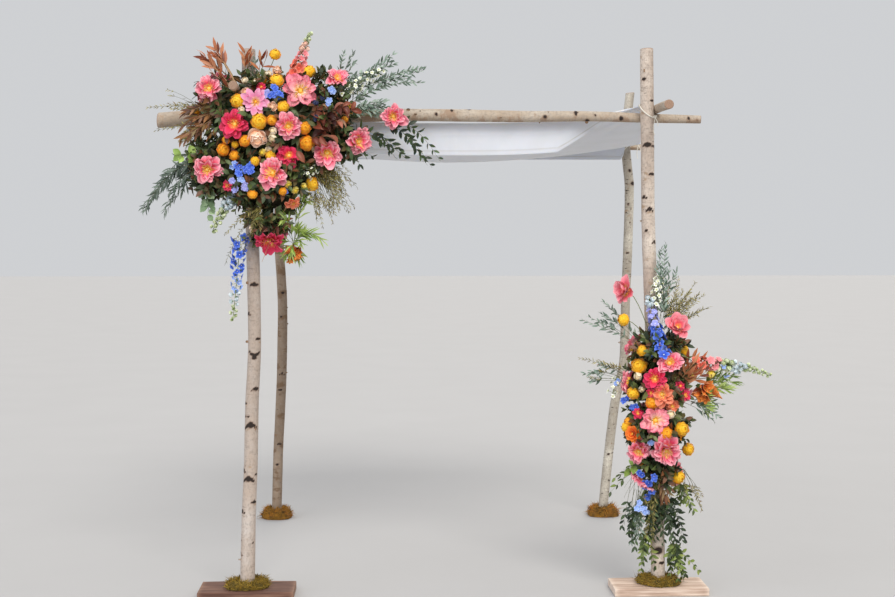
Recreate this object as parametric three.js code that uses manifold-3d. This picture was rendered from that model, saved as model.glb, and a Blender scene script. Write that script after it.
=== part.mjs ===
// A chuppah: four birch poles on wooden boards carry a frame of birch bars with a cotton cloth
// tied beneath it, and cut flowers are tied to one top corner and to one front post.
// Millimetres, +Z up, +X to the viewer's right, +Y to the rear. The origin is on the ground,
// in the middle of the whole outline.
import * as THREE from "three";
import { mergeVertices } from "three/addons/utils/BufferGeometryUtils.js";
import Module from "manifold-3d";

const wasm = await Module();
wasm.setup();

// Driving dimensions
const SEAT_GAP = 0.4;
const BOARD = { thickness: 38, frontLength: 445, frontDepth: 235, rearSide: 130 };
const FOOT = BOARD.thickness + SEAT_GAP;

// Birch logs, as stations [x, y, z, radius] along the axis of each
const LOG_SIDES = 12; // corners point along the axes, where the logs touch each other
const LOG_STEPS = 2; // rings from one station to the next
const POSTS = {
  post_front_left: [
    [-993, -955, FOOT, 35],
    [-984, -957, 386, 33],
    [-974, -960, 598, 32],
    [-965, -962, 922, 31],
    [-953, -961, 1152, 30],
    [-955, -958, 1456, 30],
    [-969, -955, 2082, 31],
    [-973, -955, 2545, 32],
  ],
  post_front_right: [
    [948, -955, FOOT, 33],
    [946, -952, 209, 33],
    [927, -949, 820, 33],
    [904, -951, 1429, 32],
    [891, -954, 1753, 32],
    [885, -955, 2109, 31],
    [878, -955, 2556, 31],
  ],
  post_rear_left: [
    [-994, 955, FOOT, 29],
    [-981, 951, 432, 29],
    [-963, 947, 771, 29],
    [-954, 948, 1311, 28],
    [-970, 952, 1583, 28],
    [-971, 955, 1824, 28],
    [-968, 955, 2527, 26],
  ],
  post_rear_right: [
    [954, 955, FOOT, 28],
    [986, 959, 355, 28],
    [1029, 963, 697, 28],
    [1074, 962, 901, 28],
    [1084, 959, 1260, 27],
    [1100, 956, 1760, 27],
    [1101, 955, 1985, 27],
    [1079, 955, 2210, 27],
    [1104, 955, 2517, 26],
  ],
};
const CROSSBARS = {
  crossbar_front: [
    [-1400, -888, 2222, 36],
    [-1257, -889, 2234, 34.5],
    [-971, behind("post_front_left", 2240, 33), 2240, 33],
    [-600, -891, 2245, 31],
    [-216, -893, 2250, 29],
    [18, -895, 2248, 29],
    [296, -897, 2244, 26.5],
    [620, -899, 2246, 24],
    [882, behind("post_front_right", 2238, 22), 2238, 22],
    [1146, -902, 2232, 19],
  ],
  crossbar_rear: [
    [-1205, 1005, 2206, 25],
    [-970, behind("post_rear_left", 2204, 23), 2204, 23],
    [-300, 1003, 2198, 22],
    [400, 1001, 2202, 20],
    [1081, behind("post_rear_right", 2201, 18.5), 2201, 18.5],
    [1178, 1002, 2199, 18],
  ],
};
const SIDE_BARS = {
  side_bar_left: [
    [-1022, -1200, 2358, 20.5],
    [beside("post_front_left", 2350, -20), -955, 2350, 20],
    [-1034, 0, 2300, 20],
    [beside("post_rear_left", 2247, -19), 955, 2250, 19],
    [-1014, 1200, 2238, 18.5],
  ],
  side_bar_right: [
    [941, -1200, 2280, 21.5],
    [beside("post_front_right", 2279, 21), -955, 2280.2, 21],
    [966, 0, 2266, 20],
    [beside("post_rear_right", 2241, -19.5), 955, 2240.4, 19.5],
    [1050, 1200, 2236, 19],
  ],
};

// Cloth: cut about 2 m square, tied by its corners, with a margin hanging at the front and the rear
const CLOTH = {
  thickness: 4,
  frontY: -842,
  rearY: 916,
  frontX: [-925, 880],
  rearX: [-938, 1150], // the rear right corner goes past the front of its post
  belly: 2074, // lowest height, at the middle
  bellyRise: 100, // rise of the belly line one metre out from the middle
  frontMiddle: 2214,
  frontCorners: [2303, 2303],
  rearMiddle: 2176,
  rearCorners: [2200, 2225],
  frontMargin: 150,
  frontTaper: [0.552, 0.863], // shares of the half width where that margin narrows to the least
  rearHem: 2121, // height of the rear margin's straight lower edge
  rearTaper: [0.905, 0.93],
  leastMargins: [10, 8],
  marginOut: 6, // how far the margins hang outside the folds
  acrossSteps: 18,
};
// Each cord goes round its post, high on the side of the cloth, and on to the cloth's corner
const TIE = { radius: 3, frontHeights: [2268, 2268], rearHeights: [2165, 2181], rise: 32, pull: 8 };

const MOSS_SEGMENTS = 18;
const MOSS_CLEARANCE = 0.6;

// Cut flowers and foliage, as lumps [x, y, z, half x, half y, half z, tilt towards +X in degrees]
const FLOWERS = {
  corner_flower_bank: [
    [-900, -1035, 2216, 285, 165, 222, 0],
    [-880, -1030, 1960, 235, 160, 190, 0],
    [-650, -1020, 2216, 185, 140, 235, 0],
    [-1125, -985, 2010, 150, 165, 165, 0],
    [-1115, -985, 2320, 110, 140, 115, 0],
    [-530, -1010, 2128, 110, 100, 110, 0],
    [-880, -1030, 1745, 100, 105, 110, 0],
  ],
  corner_copper_spray: [
    [-985, -990, 2445, 110, 100, 92, 0],
    [-1130, -990, 2465, 75, 80, 95, -30],
  ],
  corner_snapdragon: [[-712, -1040, 2520, 38, 38, 118, 10]],
  corner_left_foliage: [[-1215, -900, 2215, 120, 120, 115, 0]],
  corner_willow_branch: [[-1330, -960, 1915, 60, 80, 215, 42]],
  corner_right_spray: [[-320, -1000, 2385, 60, 65, 225, 72]],
  corner_trailing_vine: [
    [-370, -985, 2180, 120, 45, 60, 0],
    [-215, -955, 2105, 55, 28, 125, -45],
  ],
  corner_delphinium: [[-1050, -1045, 1580, 55, 55, 300, -5]],
  corner_bell_cluster: [[-760, -1000, 1620, 75, 60, 95, 0]],
  corner_dry_tuft: [[-600, -1010, 1880, 115, 95, 150, 10]],
  post_flower_bank: [
    [930, -1030, 1145, 145, 130, 115, 0],
    [925, -1030, 990, 160, 140, 150, 0],
    [925, -1030, 790, 165, 145, 165, 0],
    [930, -1020, 600, 115, 120, 110, 0],
  ],
  post_top_blooms: [
    [785, -1025, 1420, 75, 75, 80, 0],
    [780, -1020, 1310, 60, 60, 75, 0],
    [890, -1050, 1290, 115, 50, 115, 0],
    [1015, -1030, 1262, 75, 70, 75, 0],
  ],
  post_upper_spray: [[985, -1000, 1440, 115, 95, 215, 12]],
  post_left_spray: [[690, -1005, 1175, 105, 75, 160, 0]],
  post_bell_cluster: [[1140, -1030, 985, 75, 70, 100, 0]],
  post_right_strand: [[1285, -1020, 1080, 30, 32, 185, 84]],
  post_trailing_left: [[815, -1000, 385, 85, 75, 265, 6]],
  post_trailing_right: [[1040, -1000, 330, 80, 75, 290, -4]],
};
const LUMP_SEGMENTS = [10, 8];
const FLOWER_CLEARANCE = 0.7;

const bark = material(0xcdbeb1, 0.8);
const barkShaded = material(0x9c8a78, 0.82);
const boardWood = material(0x7b5a4d, 0.7);
const moss = material(0x6d5a24, 0.95);
const cotton = material(0xe6e6e4, 0.9);
const cord = material(0xd9d2c4, 0.9);
const petals = material(0xe0607a, 0.7);
const foliage = material(0x4b5a3a, 0.75);

function material(color, roughness) {
  return new THREE.MeshStandardMaterial({
    color,
    roughness,
    metalness: 0,
    side: THREE.DoubleSide,
  });
}

// The solid of a closed geometry, for joining and cutting
function toSolid(geometry) {
  const bare = geometry.clone();
  bare.deleteAttribute("normal");
  bare.deleteAttribute("uv");
  const merged = mergeVertices(bare, 1e-3);
  return new wasm.Manifold(
    new wasm.Mesh({
      numProp: 3,
      vertProperties: new Float32Array(merged.attributes.position.array),
      triVerts: new Uint32Array(merged.index.array),
    }),
  );
}

function toGeometry(solid) {
  const { vertProperties, triVerts } = solid.getMesh();
  return new THREE.BufferGeometry()
    .setAttribute("position", new THREE.BufferAttribute(vertProperties, 3))
    .setIndex(new THREE.BufferAttribute(triVerts, 1));
}

// Moves every vertex of a geometry to the point that place(vertex) returns
function reshape(geometry, place) {
  const position = geometry.attributes.position;
  const vertex = new THREE.Vector3();
  for (let i = 0; i < position.count; i++) {
    vertex.fromBufferAttribute(position, i);
    position.setXYZ(i, ...place(vertex));
  }
  return geometry;
}

// The rings of a log, as [x, y, z, radius], on a smooth curve through its stations
function rings(stations) {
  const spans = stations.length - 1;
  const curve = new THREE.CatmullRomCurve3(stations.map(([x, y, z]) => new THREE.Vector3(x, y, z)));
  return Array.from({ length: spans * LOG_STEPS + 1 }, (_, i) => {
    const span = Math.min(Math.floor(i / LOG_STEPS), spans - 1);
    const share = i / LOG_STEPS - span;
    const radius = THREE.MathUtils.lerp(stations[span][3], stations[span + 1][3], share);
    return [...curve.getPoint(i / (spans * LOG_STEPS)), radius];
  });
}

// A round log through its stations. across and up are the two directions of its cut end,
// in the order that keeps its faces pointing out.
function log(stations, across, up, clearance = 0) {
  const sections = rings(stations);
  const steps = sections.length - 1;
  const cylinder = new THREE.CylinderGeometry(1, 1, 1, LOG_SIDES, steps);
  return reshape(cylinder, (vertex) => {
    const [x, y, z, radius] = sections[Math.round((vertex.y + 0.5) * steps)];
    return new THREE.Vector3(x, y, z)
      .addScaledVector(across, vertex.x * (radius + clearance))
      .addScaledVector(up, vertex.z * (radius + clearance));
  });
}

function post(stations, clearance) {
  return log(stations, new THREE.Vector3(1, 0, 0), new THREE.Vector3(0, -1, 0), clearance);
}

function crossbar(stations, clearance) {
  return log(stations, new THREE.Vector3(0, 1, 0), new THREE.Vector3(0, 0, -1), clearance);
}

function sideBar(stations, clearance) {
  return log(stations, new THREE.Vector3(1, 0, 0), new THREE.Vector3(0, 0, 1), clearance);
}

// Where a post's axis passes a height, with its radius there, as [x, y, z, radius]
function postAt(name, height) {
  const sections = rings(POSTS[name]);
  const next = sections.findIndex(([, , z]) => z >= height);
  const [low, high] = [sections[next - 1], sections[next]];
  const share = (height - low[2]) / (high[2] - low[2]);
  return low.map((value, i) => THREE.MathUtils.lerp(value, high[i], share));
}

// The y of a bar that lies against the rear of a post
function behind(name, height, radius) {
  const [, y, , postRadius] = postAt(name, height);
  return y + postRadius + radius + SEAT_GAP;
}

// The x of a bar that lies beside a post, on its left where the radius is given as negative
function beside(name, height, radius) {
  const [x, , , postRadius] = postAt(name, height);
  return x + Math.sign(radius) * (postRadius + Math.abs(radius) + SEAT_GAP);
}

// A board with its top at the posts' feet, resting on the ground
function board(length, depth, centre) {
  return new THREE.BoxGeometry(length, depth, BOARD.thickness).translate(
    centre[0],
    centre[1],
    BOARD.thickness / 2,
  );
}

// Moss heaped round a post's foot: a turned mound with the post cut out of it
function mossMound(profile, stations, clearance = 0) {
  const points = profile.map(([radius, height]) => new THREE.Vector2(radius + clearance, height));
  points[0].x = 0;
  points[points.length - 1].x = 0;
  const [x, y] = stations[0];
  const mound = new THREE.LatheGeometry(points, MOSS_SEGMENTS).rotateX(Math.PI / 2);
  return toSolid(mound.translate(x, y, clearance));
}

const FRONT_MOSS = [
  [0, FOOT],
  [110, FOOT],
  [112, FOOT + 16],
  [92, FOOT + 34],
  [58, FOOT + 46],
  [0, FOOT + 40],
];

// The rear mounds hide their boards, so they hang over the edges to the ground
const REAR_MOSS = [
  [0, FOOT],
  [97, FOOT],
  [97, SEAT_GAP],
  [106, SEAT_GAP],
  [105, 30],
  [84, FOOT + 26],
  [50, FOOT + 40],
  [0, FOOT + 36],
];

// The cloth's section at one place across: from the lower edge of the front margin, over the
// front fold, along the sagging sheet and over the rear fold to the lower edge of the rear margin
function clothSection(across) {
  const fromMiddle = Math.abs(2 * across - 1);
  const frontX = THREE.MathUtils.lerp(...CLOTH.frontX, across);
  const rearX = THREE.MathUtils.lerp(...CLOTH.rearX, across);
  const side = across < 0.5 ? 0 : 1;
  const frontZ = THREE.MathUtils.lerp(CLOTH.frontMiddle, CLOTH.frontCorners[side], fromMiddle ** 2.8);
  const rearZ = THREE.MathUtils.lerp(CLOTH.rearMiddle, CLOTH.rearCorners[side], fromMiddle ** 2);
  const narrowed = (full, least, taper) =>
    THREE.MathUtils.clamp(
      THREE.MathUtils.mapLinear(fromMiddle, ...taper, full, least),
      least,
      full,
    );
  const drop = narrowed(CLOTH.frontMargin, CLOTH.leastMargins[0], CLOTH.frontTaper);
  const rearDrop = narrowed(rearZ - CLOTH.rearHem, CLOTH.leastMargins[1], CLOTH.rearTaper);
  const points = [];
  const add = (x, y, z) => points.push(new THREE.Vector3(x, y, z));
  for (const share of [1, 0.67, 0.34]) add(frontX, CLOTH.frontY - CLOTH.marginOut, frontZ - share * drop);
  const sheetSteps = 10;
  for (let i = 0; i <= sheetSteps; i++) {
    const share = i / sheetSteps;
    const x = THREE.MathUtils.lerp(frontX, rearX, share);
    const edges = THREE.MathUtils.lerp(frontZ, rearZ, share);
    const bellyEdges = (frontZ + rearZ) / 2;
    const belly = CLOTH.belly + CLOTH.bellyRise * (x / 1000) ** 2;
    const hollow = 1 - (2 * share - 1) ** 2;
    add(x, THREE.MathUtils.lerp(CLOTH.frontY, CLOTH.rearY, share), edges - (bellyEdges - belly) * hollow);
  }
  for (const share of [0.5, 1]) add(rearX, CLOTH.rearY + CLOTH.marginOut, rearZ - share * rearDrop);
  return points;
}

// The cloth as a closed sheet: a flat box of many cells laid on the sections, which stand closer
// together towards the sides
function clothGeometry(thickness) {
  const steps = CLOTH.acrossSteps;
  const place = (i) => 0.5 - 0.5 * Math.cos((Math.PI * i) / steps);
  const sections = Array.from({ length: steps + 1 }, (_, i) => clothSection(place(i)));
  const last = sections[0].length - 1;
  const sheet = new THREE.BoxGeometry(1, 1, 1, steps, last, 1);
  return reshape(sheet, ({ x, y, z }) => {
    const i = Math.round((x + 0.5) * steps);
    const j = Math.round((y + 0.5) * last);
    const along = sections[i][Math.min(j + 1, last)].clone().sub(sections[i][Math.max(j - 1, 0)]);
    const across = sections[Math.min(i + 1, steps)][j].clone().sub(sections[Math.max(i - 1, 0)][j]);
    const normal = across.cross(along).normalize();
    return sections[i][j].clone().addScaledVector(normal, z * thickness);
  });
}

// A cord round a post that is drawn out to a corner of the cloth. Its ring is a circle that
// grows by a steep cosine power towards the corner, and its height follows a cosine.
function tie(name, height, corner, clearance = 0) {
  const inner = new THREE.Vector2(name.includes("rear") ? 0 : name.includes("left") ? 1 : -1, 0);
  const [x, y] = postAt(name, height + TIE.rise);
  const away = corner.clone().sub(new THREE.Vector2(x, y));
  const toward = away.angle();
  const reach = away.length() - TIE.radius - SEAT_GAP;
  const highSide = inner.add(away.clone().normalize()).angle();
  const tube = TIE.radius + clearance;
  return reshape(new THREE.TorusGeometry(2, 1, 6, 24).rotateZ(toward), (vertex) => {
    const angle = Math.atan2(vertex.y, vertex.x);
    const rise = TIE.rise * Math.cos(angle - highSide);
    const [axisX, axisY, , postRadius] = postAt(name, height + rise);
    const snug = postRadius + TIE.radius + SEAT_GAP;
    const drawn = Math.max(0, Math.cos(angle - toward)) ** TIE.pull;
    const ring = THREE.MathUtils.lerp(snug, Math.max(reach, snug), drawn);
    const out = ring + (Math.hypot(vertex.x, vertex.y) - 2) * tube;
    return [
      axisX + out * Math.cos(angle),
      axisY + out * Math.sin(angle),
      height + rise + vertex.z * tube,
    ];
  });
}

function lumpGeometry([x, y, z, halfX, halfY, halfZ, tilt], clearance) {
  return new THREE.SphereGeometry(1, ...LUMP_SEGMENTS)
    .rotateX(Math.PI / 2)
    .scale(halfX + clearance, halfY + clearance, halfZ + clearance)
    .rotateY(THREE.MathUtils.degToRad(tilt))
    .translate(x, y, z);
}

function joined(solids) {
  return solids.reduce((sum, solid) => sum.add(solid));
}

function lumps(list, clearance = 0) {
  return joined(list.map((lump) => toSolid(lumpGeometry(lump, clearance))));
}

function largest(solid) {
  return solid.decompose().reduce((a, b) => (b.volume() > a.volume() ? b : a));
}

const chuppah = new THREE.Group();

function addPiece(name, geometry, finish) {
  const mesh = new THREE.Mesh(geometry, finish);
  mesh.name = name;
  chuppah.add(mesh);
}

function cornerTie(name, clearance) {
  const rear = name.includes("rear");
  const side = name.includes("left") ? 0 : 1;
  const cornerX = (rear ? CLOTH.rearX : CLOTH.frontX)[side];
  const face = CLOTH.marginOut + CLOTH.thickness / 2;
  const corner = new THREE.Vector2(cornerX, rear ? CLOTH.rearY + face : CLOTH.frontY - face);
  return tie(name, (rear ? TIE.rearHeights : TIE.frontHeights)[side], corner, clearance);
}

for (const [name, stations] of Object.entries(POSTS)) {
  const rear = name.includes("rear");
  addPiece(name, post(stations), rear ? barkShaded : bark);
  const size = rear ? [BOARD.rearSide, BOARD.rearSide] : [BOARD.frontLength, BOARD.frontDepth];
  addPiece(name.replace("post", "base_board"), board(...size, stations[0]), boardWood);
  const mound = mossMound(rear ? REAR_MOSS : FRONT_MOSS, stations);
  const mossSolid = mound.subtract(toSolid(post(stations, MOSS_CLEARANCE)));
  addPiece(name.replace("post", "moss"), toGeometry(mossSolid), moss);
  addPiece(name.replace("post", "cloth_tie"), cornerTie(name), cord);
}
for (const [name, stations] of Object.entries(CROSSBARS)) addPiece(name, crossbar(stations), bark);
for (const [name, stations] of Object.entries(SIDE_BARS)) addPiece(name, sideBar(stations), bark);
addPiece("canopy_cloth", clothGeometry(CLOTH.thickness), cotton);

// The flowers keep clear of the frame, the cloth, the ties, the moss and one another
const KEEP_CLEAR = 16; // added to the cloth's thickness
const frameSolids = [
  ...Object.values(POSTS).map((stations) => toSolid(post(stations, FLOWER_CLEARANCE))),
  ...Object.values(CROSSBARS).map((stations) => toSolid(crossbar(stations, FLOWER_CLEARANCE))),
  ...Object.values(SIDE_BARS).map((stations) => toSolid(sideBar(stations, FLOWER_CLEARANCE))),
  mossMound(FRONT_MOSS, POSTS.post_front_right, FLOWER_CLEARANCE),
  toSolid(clothGeometry(CLOTH.thickness + KEEP_CLEAR)),
  toSolid(cornerTie("post_front_left", FLOWER_CLEARANCE)),
];
let taken = joined(frameSolids);
for (const [name, list] of Object.entries(FLOWERS)) {
  const solid = largest(lumps(list).subtract(taken));
  addPiece(name, toGeometry(solid), name.match(/bank|blooms/) ? petals : foliage);
  taken = taken.add(lumps(list, FLOWER_CLEARANCE));
}

export default chuppah;
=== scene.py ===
"""The looks of a chuppah: birch poles and bars, a sagging cotton cloth, and cut flowers on two of its poles.

Every surface is worked out with numpy as whole arrays of points, and set into a mesh in one go.
Lengths are in metres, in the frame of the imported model: +X to the right, +Y to the rear, +Z up.
"""

from __future__ import annotations

import logging
import math
from collections.abc import Callable
from dataclasses import dataclass, field, replace
from enum import Enum
from functools import cache, partial

import bpy
import numpy as np
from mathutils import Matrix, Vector
from mathutils.bvhtree import BVHTree


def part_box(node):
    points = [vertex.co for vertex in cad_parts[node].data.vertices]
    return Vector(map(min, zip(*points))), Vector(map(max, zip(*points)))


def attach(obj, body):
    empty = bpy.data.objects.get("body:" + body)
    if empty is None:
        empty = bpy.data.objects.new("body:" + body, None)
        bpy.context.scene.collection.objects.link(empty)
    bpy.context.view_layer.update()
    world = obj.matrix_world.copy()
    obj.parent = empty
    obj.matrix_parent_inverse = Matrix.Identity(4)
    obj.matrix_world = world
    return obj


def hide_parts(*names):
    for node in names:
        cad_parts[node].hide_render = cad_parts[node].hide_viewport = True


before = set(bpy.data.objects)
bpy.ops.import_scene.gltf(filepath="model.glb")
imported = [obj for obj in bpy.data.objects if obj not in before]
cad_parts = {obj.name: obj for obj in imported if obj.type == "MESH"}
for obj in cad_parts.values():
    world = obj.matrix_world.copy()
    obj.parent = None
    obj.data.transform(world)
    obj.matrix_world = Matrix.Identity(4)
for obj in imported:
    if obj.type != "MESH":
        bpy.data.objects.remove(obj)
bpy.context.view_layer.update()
MM = 0.001
TURN = 2 * math.pi
GOLDEN_ANGLE = 2.39996
WAVE_GAP = 0.314  # metres between the crests of a wave texture at Scale 1
UP = np.array([0.0, 0.0, 1.0])
log = logging.getLogger("chuppah")

Array = np.ndarray
Adder = Callable[..., bpy.types.NodeSocket]
Coat = tuple[dict[str, object], object, float]
Mask = Callable[[Array], Array]
Trio = tuple[Array, Array, Array]
Rng = np.random.Generator


def linear(colour: str) -> tuple[float, float, float]:
    """Turns an sRGB hex colour, six digits after a hash sign, into linear red, green and blue."""
    shares = [int(colour[i : i + 2], 16) / 255 for i in (1, 3, 5)]
    return tuple(c / 12.92 if c <= 0.04045 else ((c + 0.055) / 1.055) ** 2.4 for c in shares)


def smooth(low: float, high: float, x: Array) -> Array:
    """Rises from 0 at low to 1 at high along the cubic 3t^2 - 2t^3."""
    t = np.clip((x - low) / (high - low), 0, 1)
    return t * t * (3 - 2 * t)


def unit(vectors: Array) -> Array:
    """Scales each vector of the last axis to length 1."""
    return vectors / np.maximum(np.linalg.norm(vectors, axis=-1, keepdims=True), 1e-12)


def lattice_noise(points: Array, size: float, seed: int) -> Array:
    """Gives smooth random values at points.

    Formula: the random values at the eight corners of the cell that holds a point are mixed by the cubic
    3t^2 - 2t^3 of the point's place in the cell.

    Args:
        points: Any array whose last axis is x, y, z.
        size: Width of a cell.
        seed: Chooses the set of random values.

    Returns:
        Values from -1 to 1, one for each point.
    """
    cell = np.floor(points / size).astype(np.int64)
    t = points / size - cell
    t = t * t * (3 - 2 * t)
    total = np.zeros(points.shape[:-1])
    for corner in range(8):
        shift = np.array([(corner >> axis) & 1 for axis in range(3)])
        key = (cell + shift) @ np.array([73856093, 19349663, 83492791]) + seed * 7919
        key = (key ^ (key >> 13)) * 1274126177
        value = ((key ^ (key >> 16)) & 0xFFFF) / 32767.5 - 1
        total = total + value * np.prod(np.where(shift, t, 1 - t), axis=-1)
    return total


def grid_faces(rows: int, columns: int, closed: bool = False) -> Array:
    """Lists the four-sided faces of a grid of points stored row by row.

    Args:
        rows: Number of rows of points.
        columns: Number of points in a row.
        closed: Joins the last column to the first.

    Returns:
        Faces as four point numbers each, which face along column step cross row step.
    """
    i, j = np.meshgrid(np.arange(rows - 1), np.arange(columns if closed else columns - 1), indexing="ij")
    right = (j + 1) % columns
    corners = [i * columns + j, i * columns + right, (i + 1) * columns + right, (i + 1) * columns + j]
    return np.stack(corners, axis=-1).reshape(-1, 4)


def capped_faces(rows: int, columns: int) -> list[Array]:
    """Lists the faces of a closed tube whose first and last points are poles.

    Args:
        rows: Number of rings between the poles.
        columns: Number of points in a ring.

    Returns:
        Quads of the wall, and triangles of the two ends.
    """
    j = np.arange(columns)
    right = (j + 1) % columns
    last, pole = 1 + (rows - 1) * columns, rows * columns + 1
    start = np.stack([np.zeros_like(j), 1 + right, 1 + j], axis=-1)
    end = np.stack([np.full_like(j, pole), last + j, last + right], axis=-1)
    return [grid_faces(rows, columns, closed=True) + 1, np.concatenate([start, end])]


def with_poles(start: object, rings: Array, end: object) -> Array:
    """Lists tubes' points or values, of shape (tubes, n, width): for each its pole, its rings, its pole."""
    shape = (len(rings), -1, rings.shape[-1])
    return np.concatenate([np.reshape(part, shape) for part in (start, rings, end)], axis=1)


def full_turn(count: int) -> Array:
    """Gives evenly spaced angles from 0 up to a full turn."""
    return np.linspace(0, TURN, count, endpoint=False)


def repeated(faces: Array, copies: int, stride: int) -> Array:
    """Repeats faces for copies of a shape that has stride points each."""
    return (faces[None] + np.arange(copies)[:, None, None] * stride).reshape(-1, faces.shape[-1])


@dataclass
class Pile:
    """Surfaces gathered for one piece, with the values that its materials read at each point."""

    points: list[Array] = field(default_factory=list)
    faces: list[tuple[Array, int]] = field(default_factory=list)
    values: dict[str, list[tuple[int, Array]]] = field(default_factory=dict)
    count: int = 0

    def add(self, points: Array, faces: list[Array], cut: tuple[Array, ...] = (), **values: Array) -> None:
        """Adds one surface, or many alike.

        Args:
            points: Points, in any shape whose last axis is x, y, z.
            faces: Arrays of quads or triangles that number these points from 0.
            cut: More of them, with the piece's second material.
            values: Named values at the points: one number, a UV pair, a vector, or a colour as the tint.
        """
        flat = points.reshape(-1, 3)
        self.points.append(flat)
        self.faces += [(f + self.count, slot) for slot, some in enumerate((faces, cut)) for f in some]
        for name, value in values.items():
            self.values.setdefault(name, []).append((self.count, value.reshape(len(flat), -1)))
        self.count += len(flat)

    def build(
        self, name: str, materials: list[bpy.types.Material], slot: str, *nodes: str
    ) -> bpy.types.Object:
        """Makes the mesh object, at the origin, with its place in its mesh.

        Args:
            name: The piece's name.
            materials: Its materials, in the order of their slots.
            slot: The record's slot that its finish comes from. It is not used.
            nodes: The CAD nodes that it stands for.

        Returns:
            The new object, already riding on the frame.
        """
        points = np.concatenate(self.points)
        sizes = np.concatenate([np.full(len(f), f.shape[1]) for f, _ in self.faces])
        corners = np.concatenate([f.ravel() for f, _ in self.faces]).astype(np.int32)
        starts = np.concatenate([[0], np.cumsum(sizes)[:-1]])
        slots = np.concatenate([np.full(len(f), place) for f, place in self.faces])
        mesh = bpy.data.meshes.new(name)
        mesh.vertices.add(len(points))
        mesh.vertices.foreach_set("co", points.astype(np.float32).ravel())
        mesh.loops.add(len(corners))
        mesh.loops.foreach_set("vertex_index", corners)
        mesh.polygons.add(len(sizes))
        mesh.polygons.foreach_set("loop_start", starts.astype(np.int32))
        mesh.polygons.foreach_set("material_index", slots.astype(np.int32))
        mesh.update(calc_edges=True)
        mesh.polygons.foreach_set("use_smooth", np.ones(len(sizes), bool))
        mesh.set_sharp_from_angle(angle=math.radians(80))
        for key, parts in self.values.items():
            self._set_values(mesh, key, parts, corners)
        for material in materials:
            mesh.materials.append(material)
        piece = bpy.data.objects.new(name, mesh)
        bpy.context.scene.collection.objects.link(piece)
        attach(piece, "root")
        if nodes:
            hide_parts(*nodes)
        log.info("%s: %d points, %d triangles", name, len(points), (sizes - 2).sum())
        return piece

    def _set_values(
        self, mesh: bpy.types.Mesh, key: str, parts: list[tuple[int, Array]], corners: Array
    ) -> None:
        """Writes one named value to the mesh: as a UV map where it has two numbers, and a tint as a colour.

        Args:
            mesh: The mesh.
            key: The value's name.
            parts: Rows of values, each with the number of its first point.
            corners: The point number of each face corner.
        """
        whole = np.ones((self.count, parts[0][1].shape[1] + (key == "tint")), np.float32)
        for start, part in parts:
            whole[start : start + len(part), : part.shape[1]] = part
        if whole.shape[1] == 2:
            mesh.uv_layers.new(name=key).uv.foreach_set("vector", whole[corners].ravel())
            return
        kinds = {1: ("FLOAT", "value"), 3: ("FLOAT_VECTOR", "vector"), 4: ("FLOAT_COLOR", "color")}
        kind, target = kinds[whole.shape[1]]
        mesh.attributes.new(key, kind, "POINT").data.foreach_set(target, whole.ravel())


def add_node(
    material: bpy.types.Material,
    kind: str,
    links: dict[str | int, object] | None = None,
    stops: list[tuple[float, str]] | None = None,
    out: str | int = 0,
    **settings: object,
) -> bpy.types.NodeSocket:
    """Adds one node to a material.

    Args:
        material: The material that gets the node.
        kind: The node's type name after ShaderNode.
        links: Input sockets by name or number, each with a value or the output socket that feeds it.
        stops: Places and hex colours of a colour ramp.
        out: The output to return, by name or number.
        settings: The node's own properties.

    Returns:
        One output socket of the new node.
    """
    tree = material.node_tree
    node = tree.nodes.new("ShaderNode" + kind)
    for name, value in settings.items():
        setattr(node, name, value)
    for key, value in (links or {}).items():
        if isinstance(value, bpy.types.NodeSocket):
            tree.links.new(value, node.inputs[key])
        else:
            node.inputs[key].default_value = value
    if stops:
        elements = node.color_ramp.elements
        while len(elements) < len(stops):
            elements.new(0.5)
        for element, (place, colour) in zip(elements, stops):
            element.position, element.color = place, (*linear(colour), 1)
    return node.outputs[out] if node.outputs else None


def lay_over(add: Adder, ground: object, mask: object, share: float, shade: str) -> object:
    """Paints a layer of colour over a ground.

    Args:
        add: Adds a node.
        ground: The colour below.
        mask: Says where the layer lies.
        share: How strong it is.
        shade: Its hex colour.

    Returns:
        The socket of the finished colour.
    """
    amount = add("Math", {0: mask, 1: share}, operation="MULTIPLY", use_clamp=True)
    return add("Mix", {0: amount, 6: ground, 7: (*linear(shade), 1)}, out=2, data_type="RGBA")


@dataclass(frozen=True)
class Finish:
    """A surface finish. name is the real material's, and each kind of finish has its own paint."""

    name: str
    roughness: float = 0.8
    ior: float = 1.45

    @cache
    def material(self) -> bpy.types.Material:
        """Makes the material: its coat on a Principled shader, with the coat's height as a bump.

        Returns:
            The material.
        """
        material = bpy.data.materials.new(self.name)
        material.use_nodes = True
        material.node_tree.nodes.clear()
        add = partial(add_node, material)
        inputs, height, depth = self.paint(add)
        normal = add("Bump", {"Height": height, "Distance": depth})
        links = {"Roughness": self.roughness, "IOR": self.ior, "Normal": normal, **inputs}
        add("OutputMaterial", {"Surface": add("BsdfPrincipled", links)})
        return material

    def paint(self, add: Adder) -> Coat:
        """Gives the coat: inputs of the shader, a height of 0 to 1, and what 1 stands for in metres."""
        raise NotImplementedError


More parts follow.
